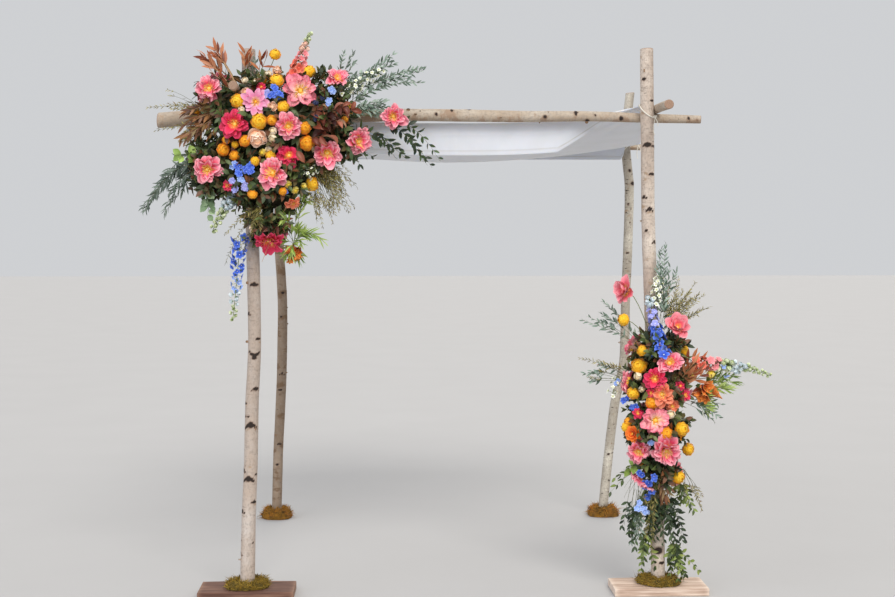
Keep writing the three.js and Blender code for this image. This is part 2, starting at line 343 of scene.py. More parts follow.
@dataclass(frozen=True)
class BirchBark(Finish):
    """Birch bark, air-dried on the log: papery and white, with dark breathing slits and branch scars.

    The patterns have the bark's own scale: slits 10 to 40 mm long round the log and 2 to 3 mm high, and
    patches of tan under-bark about 80 mm across, more of them on a bar's underside as painted shade.
    tan_share and fleck_share say how much of it they cover, slit_share how dark its slits are, and shaded how
    much greyer it is above breast height, as painted shade.
    """

    pale: str = "#c8beb6"
    warm: str = "#b8a799"
    tan: str = "#9f856b"
    grey: str = "#93877e"
    slit: str = "#6f5d51"
    fringe: str = "#6d5140"
    scar: str = "#2a1f19"
    tan_share: float = 0.36
    fleck_share: float = 0.30
    slit_share: float = 0.6
    shaded: float = 0.0

    def paint(self, add: Adder) -> Coat:
        """Builds the bark from noise stretched on the log's own straightened coordinates.

        Args:
            add: Adds a node.

        Returns:
            The coat.
        """
        place, wear, under = (
            add("Attribute", out=out, attribute_name=name)
            for name, out in (("straight", "Vector"), ("scar", "Fac"), ("under", "Fac"))
        )
        noise = {}
        for name, scale, detail in (
            ("cloudy", (9, 9, 4), 4.0), ("bands", (14, 14, 110), 3.0), ("slits", (26, 26, 330), 2.0),
            ("flecks", (34, 34, 120), 3.0), ("patches", (13, 13, 20), 5.0), ("mottle", (110, 110, 70), 4.0),
        ):
            links = {"Vector": add("Mapping", {"Vector": place, "Scale": scale}), "Scale": 1.0}
            noise[name] = add("TexNoise", {**links, "Detail": detail, "Roughness": 0.6})
        # peel: the tan patches, with more of them on a bar's underside, which is painted shade
        peel, halo, core = (
            add("Math", {0: second, 1: share, 2: first}, operation="MULTIPLY_ADD")
            for first, second, share in (
                (noise["patches"], under, 0.16), (wear, noise["bands"], 0.3), (wear, noise["flecks"], 0.5)
            )
        )
        colour = add(
            "ValToRGB", {"Fac": noise["cloudy"]}, [(0.34, self.pale), (0.56, self.warm), (0.72, self.pale)]
        )
        relief = noise["bands"]
        for value, low, high, share, shade, sunk in (
            # painted shade: the bark turns greyer up the post, as much as shaded says
            (add("SeparateXYZ", {"Vector": place}, out="Z"), 0.45, 0.95, self.shaded, self.grey, False),
            (noise["bands"], 0.42, 0.72, 0.35, self.warm, False),
            (noise["mottle"], 0.50, 0.62, 0.5, self.grey, False),
            (peel, 0.99 - self.tan_share, 1.07 - self.tan_share, 0.8, self.tan, False),
            (noise["slits"], 0.62, 0.72, self.slit_share, self.slit, True),
            (noise["flecks"], 1 - self.fleck_share, 1.04 - self.fleck_share, 1.0, self.scar, True),
            (halo, 0.32, 0.75, 0.8, self.fringe, False),
            (core, 0.72, 0.92, 1.0, self.scar, False),
        ):
            mask = add("MapRange", {0: value, 1: low, 2: high})
            colour = lay_over(add, colour, mask, share, shade)
            if sunk:
                relief = add("Math", {0: mask, 1: -0.5, 2: relief}, operation="MULTIPLY_ADD")
        return {"Base Color": colour}, relief, 1.4 * MM


@dataclass(frozen=True)
class EndGrain(Finish):
    """Sawn birch end grain: tan, with darker yearly rings about 2.5 mm apart."""

    wood: str = "#b59a86"
    ring: str = "#8c6a56"
    ring_gap: float = 2.5 * MM

    def paint(self, add: Adder) -> Coat:
        """Draws rings as a wave of the distance from the log's axis.

        Args:
            add: Adds a node.

        Returns:
            The coat.
        """
        place = add("Attribute", out="Vector", attribute_name="straight")
        flat = add("VectorMath", {0: place, 1: (1, 1, 0)}, operation="MULTIPLY")
        links = {"Vector": flat, "Scale": WAVE_GAP / self.ring_gap, "Distortion": 1.2, "Detail": 2.0}
        rings = add("TexWave", links, out="Fac", wave_type="RINGS", rings_direction="SPHERICAL")
        blur = add("TexNoise", {"Vector": place, "Scale": 60.0, "Detail": 3.0})
        wood = add("ValToRGB", {"Fac": rings}, [(0.2, self.wood), (0.95, self.ring)])
        return {"Base Color": lay_over(add, wood, blur, 0.4, self.ring)}, rings, 0.4 * MM


@dataclass(frozen=True)
class StainedBoard(Finish):
    """Sawn softwood under a worn red-brown stain: long grain streaks, and paler towards both ends,
    which is partly rubbed wear and partly painted highlight.
    """

    stain: str = "#6b4a3e"
    dark: str = "#452f27"
    rubbed_and_highlight: str = "#94735f"

    def paint(self, add: Adder) -> Coat:
        """Draws the grain as noise stretched along X, on Object coordinates.

        Args:
            add: Adds a node.

        Returns:
            The coat.
        """
        place = add("TexCoord", out="Object")
        edge = add("Attribute", out="Fac", attribute_name="edge")
        grain, broad = (add("Mapping", {"Vector": place, "Scale": s}) for s in ((6, 150, 150), (4, 26, 26)))
        fine = add("TexNoise", {"Vector": grain, "Scale": 1.0, "Detail": 4.0})
        wide = add("TexNoise", {"Vector": broad, "Scale": 1.0, "Detail": 5.0})
        mixed = add("Math", {0: fine, 1: wide}, operation="ADD")
        half = add("Math", {0: mixed, 1: 0.5}, operation="MULTIPLY")
        ground = add("ValToRGB", {"Fac": half}, [(0.36, self.dark), (0.50, self.stain), (0.66, self.rubbed_and_highlight)])
        # wear: the paler ends, partly rubbed wear and partly painted highlight
        wear = add("Math", {0: edge, 1: wide}, operation="MULTIPLY")
        return {"Base Color": lay_over(add, ground, wear, 1.2, self.rubbed_and_highlight)}, half, 0.8 * MM


@dataclass(frozen=True)
class Tinted(Finish):
    """A finish whose colour is painted at each point, with fine streaks along the petal, leaf or strand.

    streak is how strong the streaks are, width how many lie across the surface, and sheen the light that its
    soft nap catches. The streaks follow the surface's own UV map.
    """

    streak: float = 0.3
    width: float = 24.0
    sheen: float = 0.0

    def paint(self, add: Adder) -> Coat:
        """Multiplies the painted colour by stretched noise, and raises the same noise as a bump.

        Args:
            add: Adds a node.

        Returns:
            The coat.
        """
        tint = add("Attribute", out="Color", attribute_name="tint")
        uv = add("UVMap", uv_map="uv")
        mapped = add("Mapping", {"Vector": uv, "Scale": (self.width, 1.6, 1)})
        veins = add("TexNoise", {"Vector": mapped, "Scale": 1.0, "Detail": 2.0})
        shade = add("MapRange", {0: veins, 1: 0.3, 2: 0.7, 3: 1 - self.streak, 4: 1 + self.streak * 0.5})
        colour = add("Mix", {0: 1.0, 6: tint, 7: shade}, out=2, data_type="RGBA", blend_type="MULTIPLY")
        return {"Base Color": colour, "Sheen Weight": self.sheen}, veins, 0.3 * MM


@dataclass(frozen=True)
class CottonCloth(Finish):
    """Plain-woven bleached cotton: matt white, a shade greyer in random patches, with light coming through
    it.

    The real threads lie 0.5 mm apart, under a pixel here, so the weave is drawn 3 mm apart to show.
    """

    white: str = "#d9dce3"
    crease: str = "#d6d9df"
    seam: str = "#aaa69c"
    thread: float = 3 * MM
    through: float = 0.8

    def paint(self, add: Adder) -> Coat:
        """Crosses two waves on the cloth's own UV map, which is in metres, for the weave.

        Args:
            add: Adds a node.

        Returns:
            The coat.
        """
        uv = add("UVMap", uv_map="uv")
        links = {"Vector": uv, "Scale": WAVE_GAP / self.thread, "Distortion": 0.6, "Detail": 1.0}
        waves = (add("TexWave", links, out="Fac", bands_direction=way) for way in ("X", "Y"))
        weave = add("Math", dict(enumerate(waves)), operation="MAXIMUM")
        slubs = add("TexNoise", {"Vector": uv, "Scale": 9.0, "Detail": 5.0})
        ground = add("ValToRGB", {"Fac": slubs}, [(0.38, self.crease), (0.58, self.white)])
        stitch = add("Attribute", out="Fac", attribute_name="stitch")
        inputs = {"Sheen Weight": 0.15, "Subsurface Weight": self.through}
        inputs |= {"Subsurface Radius": (0.006, 0.005, 0.004)}
        return {"Base Color": lay_over(add, ground, stitch, 1.0, self.seam), **inputs}, weave, 0.12 * MM


@dataclass(frozen=True)
class PaleFloor(Finish):
    """A matt pale studio floor."""

    paints: tuple[str, str] = ("#b8b8b9", "#b6b6b7")

    def paint(self, add: Adder) -> Coat:
        """Mottles the paint very slightly with noise.

        Args:
            add: Adds a node.

        Returns:
            The coat.
        """
        spots = add("TexNoise", {"Vector": add("TexCoord", out="Object"), "Scale": 1.5, "Detail": 4.0})
        colour = add("ValToRGB", {"Fac": spots}, list(zip((0.3, 0.7), self.paints)))
        return {"Base Color": colour}, spots, 0.1 * MM


@dataclass(frozen=True)
class Viewpoint:
    """The camera where the photograph was taken from, and its rays.

    width and height are the photograph's size in pixels, and focal its focal length in the same pixels.
    """

    place: tuple[float, float, float] = (-0.33, -8.105, 1.73)
    width: int = 895
    height: int = 597
    focal: float = 1530.0
    yaw: float = math.radians(2.2246)
    pitch: float = math.radians(2.713)
    sensor: float = 36.0

    def camera(self) -> None:
        """Makes the scene's camera: level, turned right by yaw and down by pitch."""
        data = bpy.data.cameras.new("photo_camera")
        data.sensor_width, data.lens = self.sensor, self.sensor * self.focal / self.width
        data.clip_end = 200
        camera = bpy.data.objects.new("photo_camera", data)
        camera.location = self.place
        camera.rotation_euler = (math.pi / 2 - self.pitch, 0, -self.yaw)
        bpy.context.scene.collection.objects.link(camera)
        bpy.context.scene.camera = camera

    def rays(self, spots: Array) -> Array:
        """Gives the unit directions, of shape (n, 3), in which the camera sees photo pixels.

        Args:
            spots: Pixel columns and rows, in an array of shape (n, 2).

        Returns:
            The directions.
        """
        level = math.cos(self.pitch)
        forward = np.array([math.sin(self.yaw) * level, math.cos(self.yaw) * level, -math.sin(self.pitch)])
        right = np.array([math.cos(self.yaw), -math.sin(self.yaw), 0.0])
        aside = (spots[:, :1] - self.width / 2) / self.focal
        above = (self.height / 2 - spots[:, 1:]) / self.focal
        return unit(forward + aside * right + above * np.cross(right, forward))

    def at_depth(self, spots: Array, y: Array | float) -> Array:
        """Gives the points that the camera sees at pixels, on the upright planes at depth y."""
        rays = self.rays(spots)
        return np.array(self.place) + rays * ((y - self.place[1]) / rays[:, 1])[:, None]


def node_points(name: str) -> Array:
    """Gives the corners of a CAD node's mesh.

    Args:
        name: The node's name.

    Returns:
        Points of shape (n, 3).
    """
    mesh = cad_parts[name].data
    points = np.empty(len(mesh.vertices) * 3, np.float32)
    mesh.vertices.foreach_get("co", points)
    return points.reshape(-1, 3).astype(float)


def hermite(knots: Array, values: Array, at: Array) -> Array:
    """Interpolates rows of values smoothly.

    Formula: between two knots, the cubic that meets both values and the slopes there, each slope being that
    of the line through the neighbouring knots.

    Args:
        knots: Increasing places of the rows.
        values: One row for each knot.
        at: Places to interpolate at.

    Returns:
        One row for each place.
    """
    slopes = np.gradient(values, knots, axis=0)
    i = np.clip(np.searchsorted(knots, at) - 1, 0, len(knots) - 2)
    span = (knots[i + 1] - knots[i])[:, None]
    t = (at - knots[i])[:, None] / span
    start = (1 + 2 * t) * (1 - t) ** 2 * values[i] + t * (1 - t) ** 2 * span * slopes[i]
    return start + t * t * (3 - 2 * t) * values[i + 1] - t * t * (1 - t) * span * slopes[i + 1]


class Lie(Enum):
    """Which way a log lies: its axis, then both directions across it, in the order that keeps it outward."""

    UPRIGHT = (2, 0, 1)
    ACROSS = (0, 1, 2)
    ALONG = (1, 2, 0)


@dataclass(frozen=True)
class Knot:
    """A branch scar on a log.

    at is its place along the log's axis. turn is its angle in degrees from the side that faces the camera:
    towards +X on a post and upwards on a bar. across is its width, swell how far its collar stands out, and
    brow the slope of the dark brow lines that fall from it to both sides, with 0 for a plain round eye.
    """

    at: float
    turn: float
    across: float
    swell: float = 0.10
    brow: float = 0.0


@dataclass
class BirchLog:
    """A birch log with its bark, on the axis and girth of its CAD node.

    seed chooses its random marks, saw_slope is how much its sawn ends slant, spare is how many smaller scars
    it has besides the knots that the photograph shows, and rim gives the radii of the rings on a sawn end.
    """

    node: str
    lie: Lie
    bark: BirchBark
    seed: int
    knots: tuple[Knot, ...] = ()
    spare: int = 14
    saw_slope: float = 0.08
    row_gap: float = 10 * MM
    sides: int = 26
    arris: float = 2.5 * MM
    rim: tuple[float, ...] = (0.25, 0.5, 0.75, 0.93, 1.0)

    def axis(self) -> tuple[Array, Array]:
        """Reads the log's course from its node.

        Returns:
            The places of its rings along the axis, and rows of two centre coordinates and a radius.
        """
        along, *across = self.lie.value
        points = node_points(self.node)
        levels = np.unique(np.round(points[:, along], 4))
        rows = []
        for level in levels:
            ring = points[np.abs(points[:, along] - level) < 2e-4][:, across]
            low, high = ring.min(0), ring.max(0)
            rows.append([*(low + high) / 2, (high - low).mean() / 2])
        return levels, np.array(rows)

    def scars(self, levels: Array) -> list[Knot]:
        """Adds small random scars to the knots that the photograph shows.

        Args:
            levels: Places of the log's rings along its axis.

        Returns:
            All its scars.
        """
        rng = np.random.default_rng(self.seed)
        places = rng.uniform(levels[0] + 0.05, levels[-1] - 0.05, self.spare)
        turns = rng.uniform(60, 300, self.spare)
        widths = rng.uniform(8, 20, self.spare) * MM
        brows = rng.choice([0.0, 0.5, 0.8], self.spare)
        return [*self.knots, *(Knot(p, t, w, 0.08, b) for p, t, w, b in zip(places, turns, widths, brows))]

    def relief(self, straight: Array, angle: Array, radius: Array, knots: list[Knot]) -> tuple[Array, Array]:
        """Shapes the bark.

        Formula: low noise, with a wide collar less a narrow pit at each knot, both bell curves of the
        distance from its eye. A brow is a bell curve across the line that falls from the eye at its slope,
        and it thins out to both sides.

        Args:
            straight: Points of the straightened log, of shape (rings, points, 3).
            angle: Angles of a ring's points.
            radius: Radii of the rings, in a column.
            knots: The scars.

        Returns:
            How much each point swells, and how dark its scar is, of shape (rings, points).
        """
        swell = 0.012 * lattice_noise(straight * (1, 1, 0.5), 0.03, self.seed)
        swell += 0.022 * lattice_noise(straight * (1, 1, 0.35), 0.09, self.seed + 1)
        scar = np.zeros_like(swell)
        front, sense = (math.pi, -1) if self.lie is Lie.ACROSS else (-math.pi / 2, 1)
        for knot in knots:
            turned = angle - front - sense * math.radians(knot.turn)
            a = radius * ((turned + math.pi) % TURN - math.pi)
            b = straight[:, :1, 2] - knot.at
            half = knot.across / 2
            eye = half * (0.42 if knot.brow else 0.85)
            d2 = (a / eye) ** 2 + ((b + 0.2 * eye) / (0.75 * eye)) ** 2
            swell += knot.swell * (np.exp(-0.3 * d2) - 1.3 * np.exp(-1.5 * d2)) * eye / radius
            scar = np.maximum(scar, np.exp(-0.8 * d2) * 1.15)
            if knot.brow:
                line = b - 0.2 * half + knot.brow * np.abs(a) ** 1.15 / half**0.15
                thick = half * (0.34 - 0.16 * np.minimum(np.abs(a) / half, 1))
                reach = smooth(1.25 * half, 0.85 * half, np.abs(a))
                scar = np.maximum(scar, 1.1 * np.exp(-((line / thick) ** 2)) * reach)
        return swell, scar

    def build(self) -> None:
        """Builds the log.

        Formula: a ring of radius r at each step along the axis, swelled by its relief, and closed by rings
        that shrink to the axis at both sawn ends.
        """
        along, first, second = self.lie.value
        levels, rows = self.axis()
        start, end = levels[0], levels[-1]
        at = np.linspace(start, end, int((end - start) / self.row_gap))
        rim = len(self.rim)
        copies = np.ones(len(at), int)
        copies[[0, -1]] = rim
        shrink = np.concatenate([self.rim, np.ones(len(at) - 2), self.rim[::-1]])[:, None]
        course = hermite(levels, rows, at).repeat(copies, 0)
        at = at.repeat(copies)[:, None]
        at[rim - 1] += self.arris
        at[-rim] -= self.arris
        angle = full_turn(self.sides)
        radius = course[:, 2:3]
        straight = np.stack([radius * np.cos(angle), radius * np.sin(angle), at + 0 * angle], axis=-1)
        swell, scar = self.relief(straight, angle, radius, self.scars(levels))
        ring = radius * shrink * (1 + swell * smooth(0.9, 1.0, shrink))
        near_end = np.exp(-np.minimum(at - start, end - at) / 0.004)
        points = np.empty((1, *ring.shape, 3))
        points[..., first] = course[:, 0:1] + ring * np.cos(angle)
        points[..., second] = course[:, 1:2] + ring * np.sin(angle)
        points[..., along] = at - self.saw_slope * near_end * ring * np.cos(angle + self.seed)
        poles = np.empty((2, 3))
        poles[:, [first, second]], poles[:, along] = course[[0, -1], :2], (start, end)
        straight[..., :2] *= shrink[..., None]
        # under is 1 on a bar's downward side and 0 on its top and on posts: it lays painted shade as more tan
        # below
        down = {Lie.ACROSS: np.sin(angle), Lie.ALONG: np.cos(angle), Lie.UPRIGHT: np.ones(self.sides)}
        under = np.broadcast_to(0.5 - 0.5 * down[self.lie], ring.shape)
        walls, caps = capped_faces(*ring.shape)
        inset = shrink[:, 0] >= 0.95
        barked = np.repeat(inset[:-1] & inset[1:], self.sides)
        pile = Pile()
        pile.add(
            with_poles(poles[0], points, poles[1]), [walls[barked]], (walls[~barked], caps),
            straight=with_poles([0, 0, start], straight[None], [0, 0, end]),
            scar=with_poles(0, scar[None, ..., None], 0), under=with_poles(0, under[None, ..., None], 0),
        )
        materials = [self.bark.material(), SAWN_END.material()]
        pile.build(self.node + "_birch", materials, "birch_bark", self.node)


SAWN_END = EndGrain("Sawn birch end grain", roughness=0.85)
FRONT_BARK = BirchBark("White birch bark", roughness=0.78)
# The bars' bark is tan below: painted shade on their undersides.
BAR_BARK = BirchBark(
    "White birch bark, tan as painted shade below", 0.78, pale="#c2b7a8", warm="#af9d89", tan="#9c816b", slit_share=0.3
)
# The rear-left post's bark is darker and browner than the others, with more tan.
LEFT_REAR_BARK = BirchBark(
    "Darker brown birch bark", 0.82, pale="#a4917e", warm="#887562", tan="#72583f", tan_share=0.46
)
RIGHT_REAR_BARK = BirchBark(
    "Flecked birch bark", 0.8, pale="#d2ccbe", warm="#a49b8d", slit="#53483e", fleck_share=0.37
)


@dataclass
class FootBoard:
    """A sawn board under a post's foot, on the box of its CAD node.

    arris is how far its sawn edges are rounded, worn how deep the weather has cut its grain, bow how far its
    ends droop, and steps and side how many points lie along it and across its top.
    """

    node: str
    finish: StainedBoard
    seed: int
    arris: float = 3.5 * MM
    worn: float = 0.9 * MM
    bow: float = 1.5 * MM
    steps: int = 40
    side: int = 14

    def outline(self, half: Array) -> Array:
        """Gives the section's outline: a rectangle with round corners.

        Args:
            half: Half of its width and of its height.

        Returns:
            Points in order, of shape (n, 2).
        """
        arc = np.linspace(0, math.pi / 2, 5)
        corner = np.array([[1, 1], [-1, 1], [-1, -1], [1, -1]]) * (half - self.arris)
        outline = []
        for i, centre in enumerate(corner):
            turn = arc + i * math.pi / 2
            round_corner = self.arris * np.stack([np.cos(turn), np.sin(turn)], axis=-1)
            turned = np.array([math.cos(turn[-1]), math.sin(turn[-1])]) * self.arris
            share = np.linspace(0, 1, self.side if i % 2 == 0 else 8)[1:-1, None]
            edge = (centre + turned) * (1 - share) + (corner[(i + 1) % 4] + turned) * share
            outline += [centre + round_corner, edge]
        return np.concatenate(outline)

    def build(self) -> None:
        """Builds the board.

        Formula: the outline is carried along X. Its ends are closed by copies that shrink to the middle, and
        noise stretched along X cuts its faces, but not its underside.
        """
        low, high = (np.array(corner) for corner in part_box(self.node))
        middle, half = (low + high) / 2, (high - low) / 2
        outline = self.outline(half[1:])
        turn = np.linspace(0, math.pi / 2, 4)
        inset = self.arris * (1 - np.sin(turn))
        end_x = half[0] - self.arris * (1 - np.cos(turn))
        along = np.linspace(-half[0] + self.arris, half[0] - self.arris, self.steps)
        x = np.concatenate([-end_x, along, end_x[::-1]])
        shrink = np.concatenate([inset, np.zeros(self.steps), inset[::-1]])[:, None, None]
        section = outline - shrink * np.sign(outline) * np.minimum(1, np.abs(outline) / self.arris)
        share = np.array([0.0, 0.4, 0.8])[:, None, None]
        section = np.concatenate([section[:1] * share, section, section[-1:] * share[::-1]])
        x = np.concatenate([np.full(3, x[0]), x, np.full(3, x[-1])])[:, None, None]
        points = np.concatenate([np.broadcast_to(x, (*section.shape[:2], 1)), section], axis=-1)
        cut = lattice_noise(points * (0.08, 1, 1) + middle, 4 * MM, self.seed)
        cut += lattice_noise(points * (0.15, 1, 1) + middle, 14 * MM, self.seed + 1)
        above = smooth(-0.9, -0.4, section[..., 1] / half[2])
        outward = unit(section * (half[2] / half[1], 1) + 1e-9)
        points[..., 1:] += outward * (self.worn * (cut * 0.5 - 1.0) * above)[..., None]
        points[..., 2] -= self.bow * (points[..., 0] / half[0]) ** 2 * above
        points += middle
        # edge: the board's ends, which get paint that is partly rubbed wear and partly painted highlight
        edge = smooth(0.90, 0.99, np.abs(points[..., 0] - middle[0]) / half[0])
        ends = [middle - (half[0], 0, 0), middle + (half[0], 0, 0)]
        pile = Pile()
        pile.add(
            with_poles(ends[0], points[None], ends[1]), capped_faces(*edge.shape),
            edge=with_poles(1, edge[None, ..., None], 1),
        )
        pile.build(self.node + "_sawn", [self.finish.material()], "stained_board", self.node)


# One stained wood for both boards: the left one painted as in shade, the right one painted paler as in
# sunlight.
BOARD_IN_PAINTED_SHADE = StainedBoard("Stained board, in painted shade")
BOARD_IN_PAINTED_SUN = StainedBoard("Stained board, in painted sunlight", stain="#c4aa98", dark="#a28675", rubbed_and_highlight="#ead9c9")


def palette(colours: tuple[str, ...], picks: Array) -> Array:
    """Mixes neighbouring colours of a list.

    Args:
        colours: Hex colours in order.
        picks: Places in the list, from 0 to 1.

    Returns:
        Linear colours, one for each pick.
    """
    table = np.array([linear(c) for c in colours])
    place = np.clip(picks, 0, 1) * (len(table) - 1)
    low = np.minimum(place.astype(int), len(table) - 2)
    share = (place - low)[..., None]
    return table[low] * (1 - share) + table[low + 1] * share


def grow_strands(
    base: Array, lean: Array, bend: Array, length: Array, width: Array
) -> tuple[Array, list[Array], Array]:
    """Builds three-sided strands that taper to a tip, many at once.

    Formula: a point at share t of the length lies at base + length t (lean + t bend), with a ring round it
    whose radius falls as 1 - t^2.

    Args:
        base: Where each strand starts.
        lean: Its direction there.
        bend: The vector that bends it, as a share of its length.
        length: Its length.
        width: Its width at the base.

    Returns:
        The points, their faces, and their UV pairs.
    """
    t = np.linspace(0, 1, 3)[:-1]
    angle = full_turn(3)
    side = unit(np.cross(lean, UP + 0.01))
    other = np.cross(lean, side)
    spine = base[:, None] + length[:, None, None] * t[:, None] * (lean[:, None] + t[:, None] * bend[:, None])
    radius = (width / 2)[:, None, None, None] * (1 - t**2)[:, None, None]
    ring = np.cos(angle)[:, None] * side[:, None, None] + np.sin(angle)[:, None] * other[:, None, None]
    points = with_poles(base, spine[:, :, None] + radius * ring, base + length[:, None] * (lean + bend))
    uv = np.stack(np.meshgrid(angle / TURN, t), axis=-1)
    faces = [repeated(some, len(base), points.shape[1]) for some in capped_faces(2, 3)]
    return points, faces, np.broadcast_to(with_poles([0, 0], uv[None], [0, 1]), (*points.shape[:2], 2))


GREEN_MOSS = ("#332c12", "#766323", "#a6852b", "#695c26", "#b6963b", "#8d6c27")
RUST_MOSS = ("#3d2c12", "#8a6420", "#c48a2a", "#7d5a22", "#cf8a30", "#a8641e")
MOSS = Tinted("Dried moss", roughness=0.95, streak=0.4, width=6.0)


@dataclass
class MossHeap:
    """Dried moss heaped round a post's foot, on the outline of its CAD node.

    A heap at the rear hangs over its small board to the ground, and one in front lies on its board. gap is
    how far it keeps from what it lies on.
    """

    node: str
    post: BirchLog
    seed: int
    colours: tuple[str, ...]
    strands: int = 1000
    gap: float = MM

    def build(self) -> None:
        """Builds the heap.

        Formula: a ring-shaped cushion whose section is a closed loop, from the post out over the crest and
        back along the ground, lumped by noise, with 1000 or 1500 curled strands standing on it.
        """
        rng = np.random.default_rng(self.seed)
        low, high = (np.array(corner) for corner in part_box(self.node))
        board_low, board_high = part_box(self.node.replace("moss", "base_board"))
        rear = "rear" in self.node
        x, y, girth = hermite(*self.post.axis(), np.array([high[2] - 30 * MM]))[0]
        outer, crest = (high[0] - low[0]) / 2 - 3 * MM, high[2]
        board_top = board_high[2] + self.gap
        floor = self.gap if rear else board_top
        angle, loop = full_turn(72), full_turn(24)
        circle = np.stack([np.cos(angle), np.sin(angle), 0 * angle], axis=-1)
        ragged = 0.9 + 0.14 * lattice_noise(circle, 0.7, self.seed)
        ragged += 0.10 * lattice_noise(circle, 0.25, self.seed + 1)
        reach = outer * np.clip(ragged, 0.88 if rear else 0.5, 1)[None]
        inner = girth + 1.5 * MM
        out = inner + (reach - inner) * (0.5 - 0.5 * np.cos(loop[:, None]))
        slope = (0.86 - 0.4 * np.clip(loop / math.pi, 0, 1))[:, None]
        rise = np.maximum(np.sin(loop), 0)[:, None] ** 0.8 * (crest - floor) * slope
        heap = np.stack([out * np.cos(angle) + x, out * np.sin(angle) + y, floor + rise + 0 * angle], axis=-1)
        lumps = lattice_noise(heap, 0.030, self.seed + 2) + 0.7 * lattice_noise(heap, 0.012, self.seed + 3)
        heap[..., 2] += lumps * 9 * MM * smooth(0, 0.02, rise)
        away = np.abs(heap[..., :2] - (x, y)).max(-1)
        least = np.where((away < (board_high[0] - board_low[0]) / 2) & rear, board_top, floor)
        heap[..., 2] = np.maximum(heap[..., 2], least)
        faces = grid_faces(len(loop) + 1, len(angle), closed=True) % (len(loop) * len(angle))
        shade = palette(self.colours, 0.5 + 0.5 * lattice_noise(heap, 0.03, self.seed + 4))
        pile = Pile()
        uv = np.stack(np.meshgrid(loop, angle, indexing="ij"), axis=-1)
        # The cushion under the strands is painted half as bright: painted shade beneath them.
        pile.add(heap, [faces[:, ::-1]], tint=shade * 0.5, uv=uv)
        count = self.strands if rear else self.strands * 3 // 2
        i = rng.integers(1, len(loop) // 2, count)
        j = rng.integers(0, len(angle), count)
        base = heap[i, j] + rng.normal(0, 2.5 * MM, (count, 3))
        lean = circle[j] * np.sin(loop[i] / 2 - 0.5)[:, None] + UP * 0.7 + rng.normal(0, 0.6, base.shape)
        lean = unit(lean)
        length = rng.uniform(10, 24, count) * MM
        bend = rng.normal(0, 0.55, base.shape) - UP * 0.3
        tip = base + length[:, None] * (lean + bend)
        bend[:, 2] += np.maximum(0, floor + MM - tip[:, 2]) / length
        bend[:, 2] -= np.maximum(0, tip[:, 2] - crest - 2 * MM) / length
        points, blades, uv = grow_strands(base, lean, bend, length, rng.uniform(2.2, 4.6, count) * MM)
        clump = 0.5 + 0.6 * lattice_noise(base, 0.04, self.seed + 5) + rng.normal(0, 0.16, count)
        tint = palette(self.colours, clump)[:, None].repeat(points.shape[1], 1)
        pile.add(points, blades, tint=tint, uv=uv)
        pile.build(self.node + "_heap", [MOSS.material()], "moss", self.node)


@dataclass(frozen=True)
class SheetGrid:
    """A thin sheet on a grid of points, closed by a front and a back that share the points of its rim."""

    rows: int
    columns: int

    def place(self, middle: Array, half: Array) -> Array:
        """Gives thickness to sheets.

        Formula: the front stands off the middle by half, and the back by the opposite, except at the rim.

        Args:
            middle: Points of shape (sheets, rows, columns, 3).
            half: Vectors from the middle to the front, of the same shape.

        Returns:
            Points of shape (sheets, points in a sheet, 3).
        """
        lift = np.array(half)
        lift[:, [0, -1]] = lift[:, :, [0, -1]] = 0.0
        return self.spread(middle + lift, middle - lift)

    def faces(self, sheets: int) -> list[Array]:
        """Lists the faces of sheets.

        Args:
            sheets: How many there are.

        Returns:
            The quads of their fronts and of their backs.
        """
        rows, columns = self.rows, self.columns
        inside = (rows - 2) * (columns - 2)
        back = np.arange(rows * columns).reshape(rows, columns)
        back[1:-1, 1:-1] = rows * columns + np.arange(inside).reshape(rows - 2, columns - 2)
        quads = grid_faces(rows, columns)
        sides = (quads, back.ravel()[quads][:, ::-1])
        return [repeated(side, sheets, rows * columns + inside) for side in sides]

    def spread(self, front: Array, back: Array) -> Array:
        """Puts values of both sides, of shape (sheets, rows, columns, width), on the sheets' points."""
        sides = (front, back[:, 1:-1, 1:-1])
        return np.concatenate([side.reshape(len(front), -1, front.shape[-1]) for side in sides], axis=1)


@dataclass(frozen=True)
class ClothEdge:
    """A tied edge of the cloth, along the bar that it is folded over.

    y is where its fold lies, x its corners left and right, heights its fold's height at the left corner, in
    the middle and at the right corner, power how steeply it rises to them, and ties the height of both cords.
    """

    y: float
    x: tuple[float, float]
    heights: tuple[float, float, float]
    power: float
    ties: tuple[float, float]

    def line(self, share: Array) -> tuple[Array, Array]:
        """Gives the fold's x and z.

        Args:
            share: Place across the cloth, from 0 at the left edge to 1 at the right.

        Returns:
            The two coordinates, one of each for each place.
        """
        left, middle, right = self.heights
        rise = (np.where(share < 0.5, left, right) - middle) * np.abs(2 * share - 1) ** self.power
        return self.x[0] + (self.x[1] - self.x[0]) * share, middle + rise


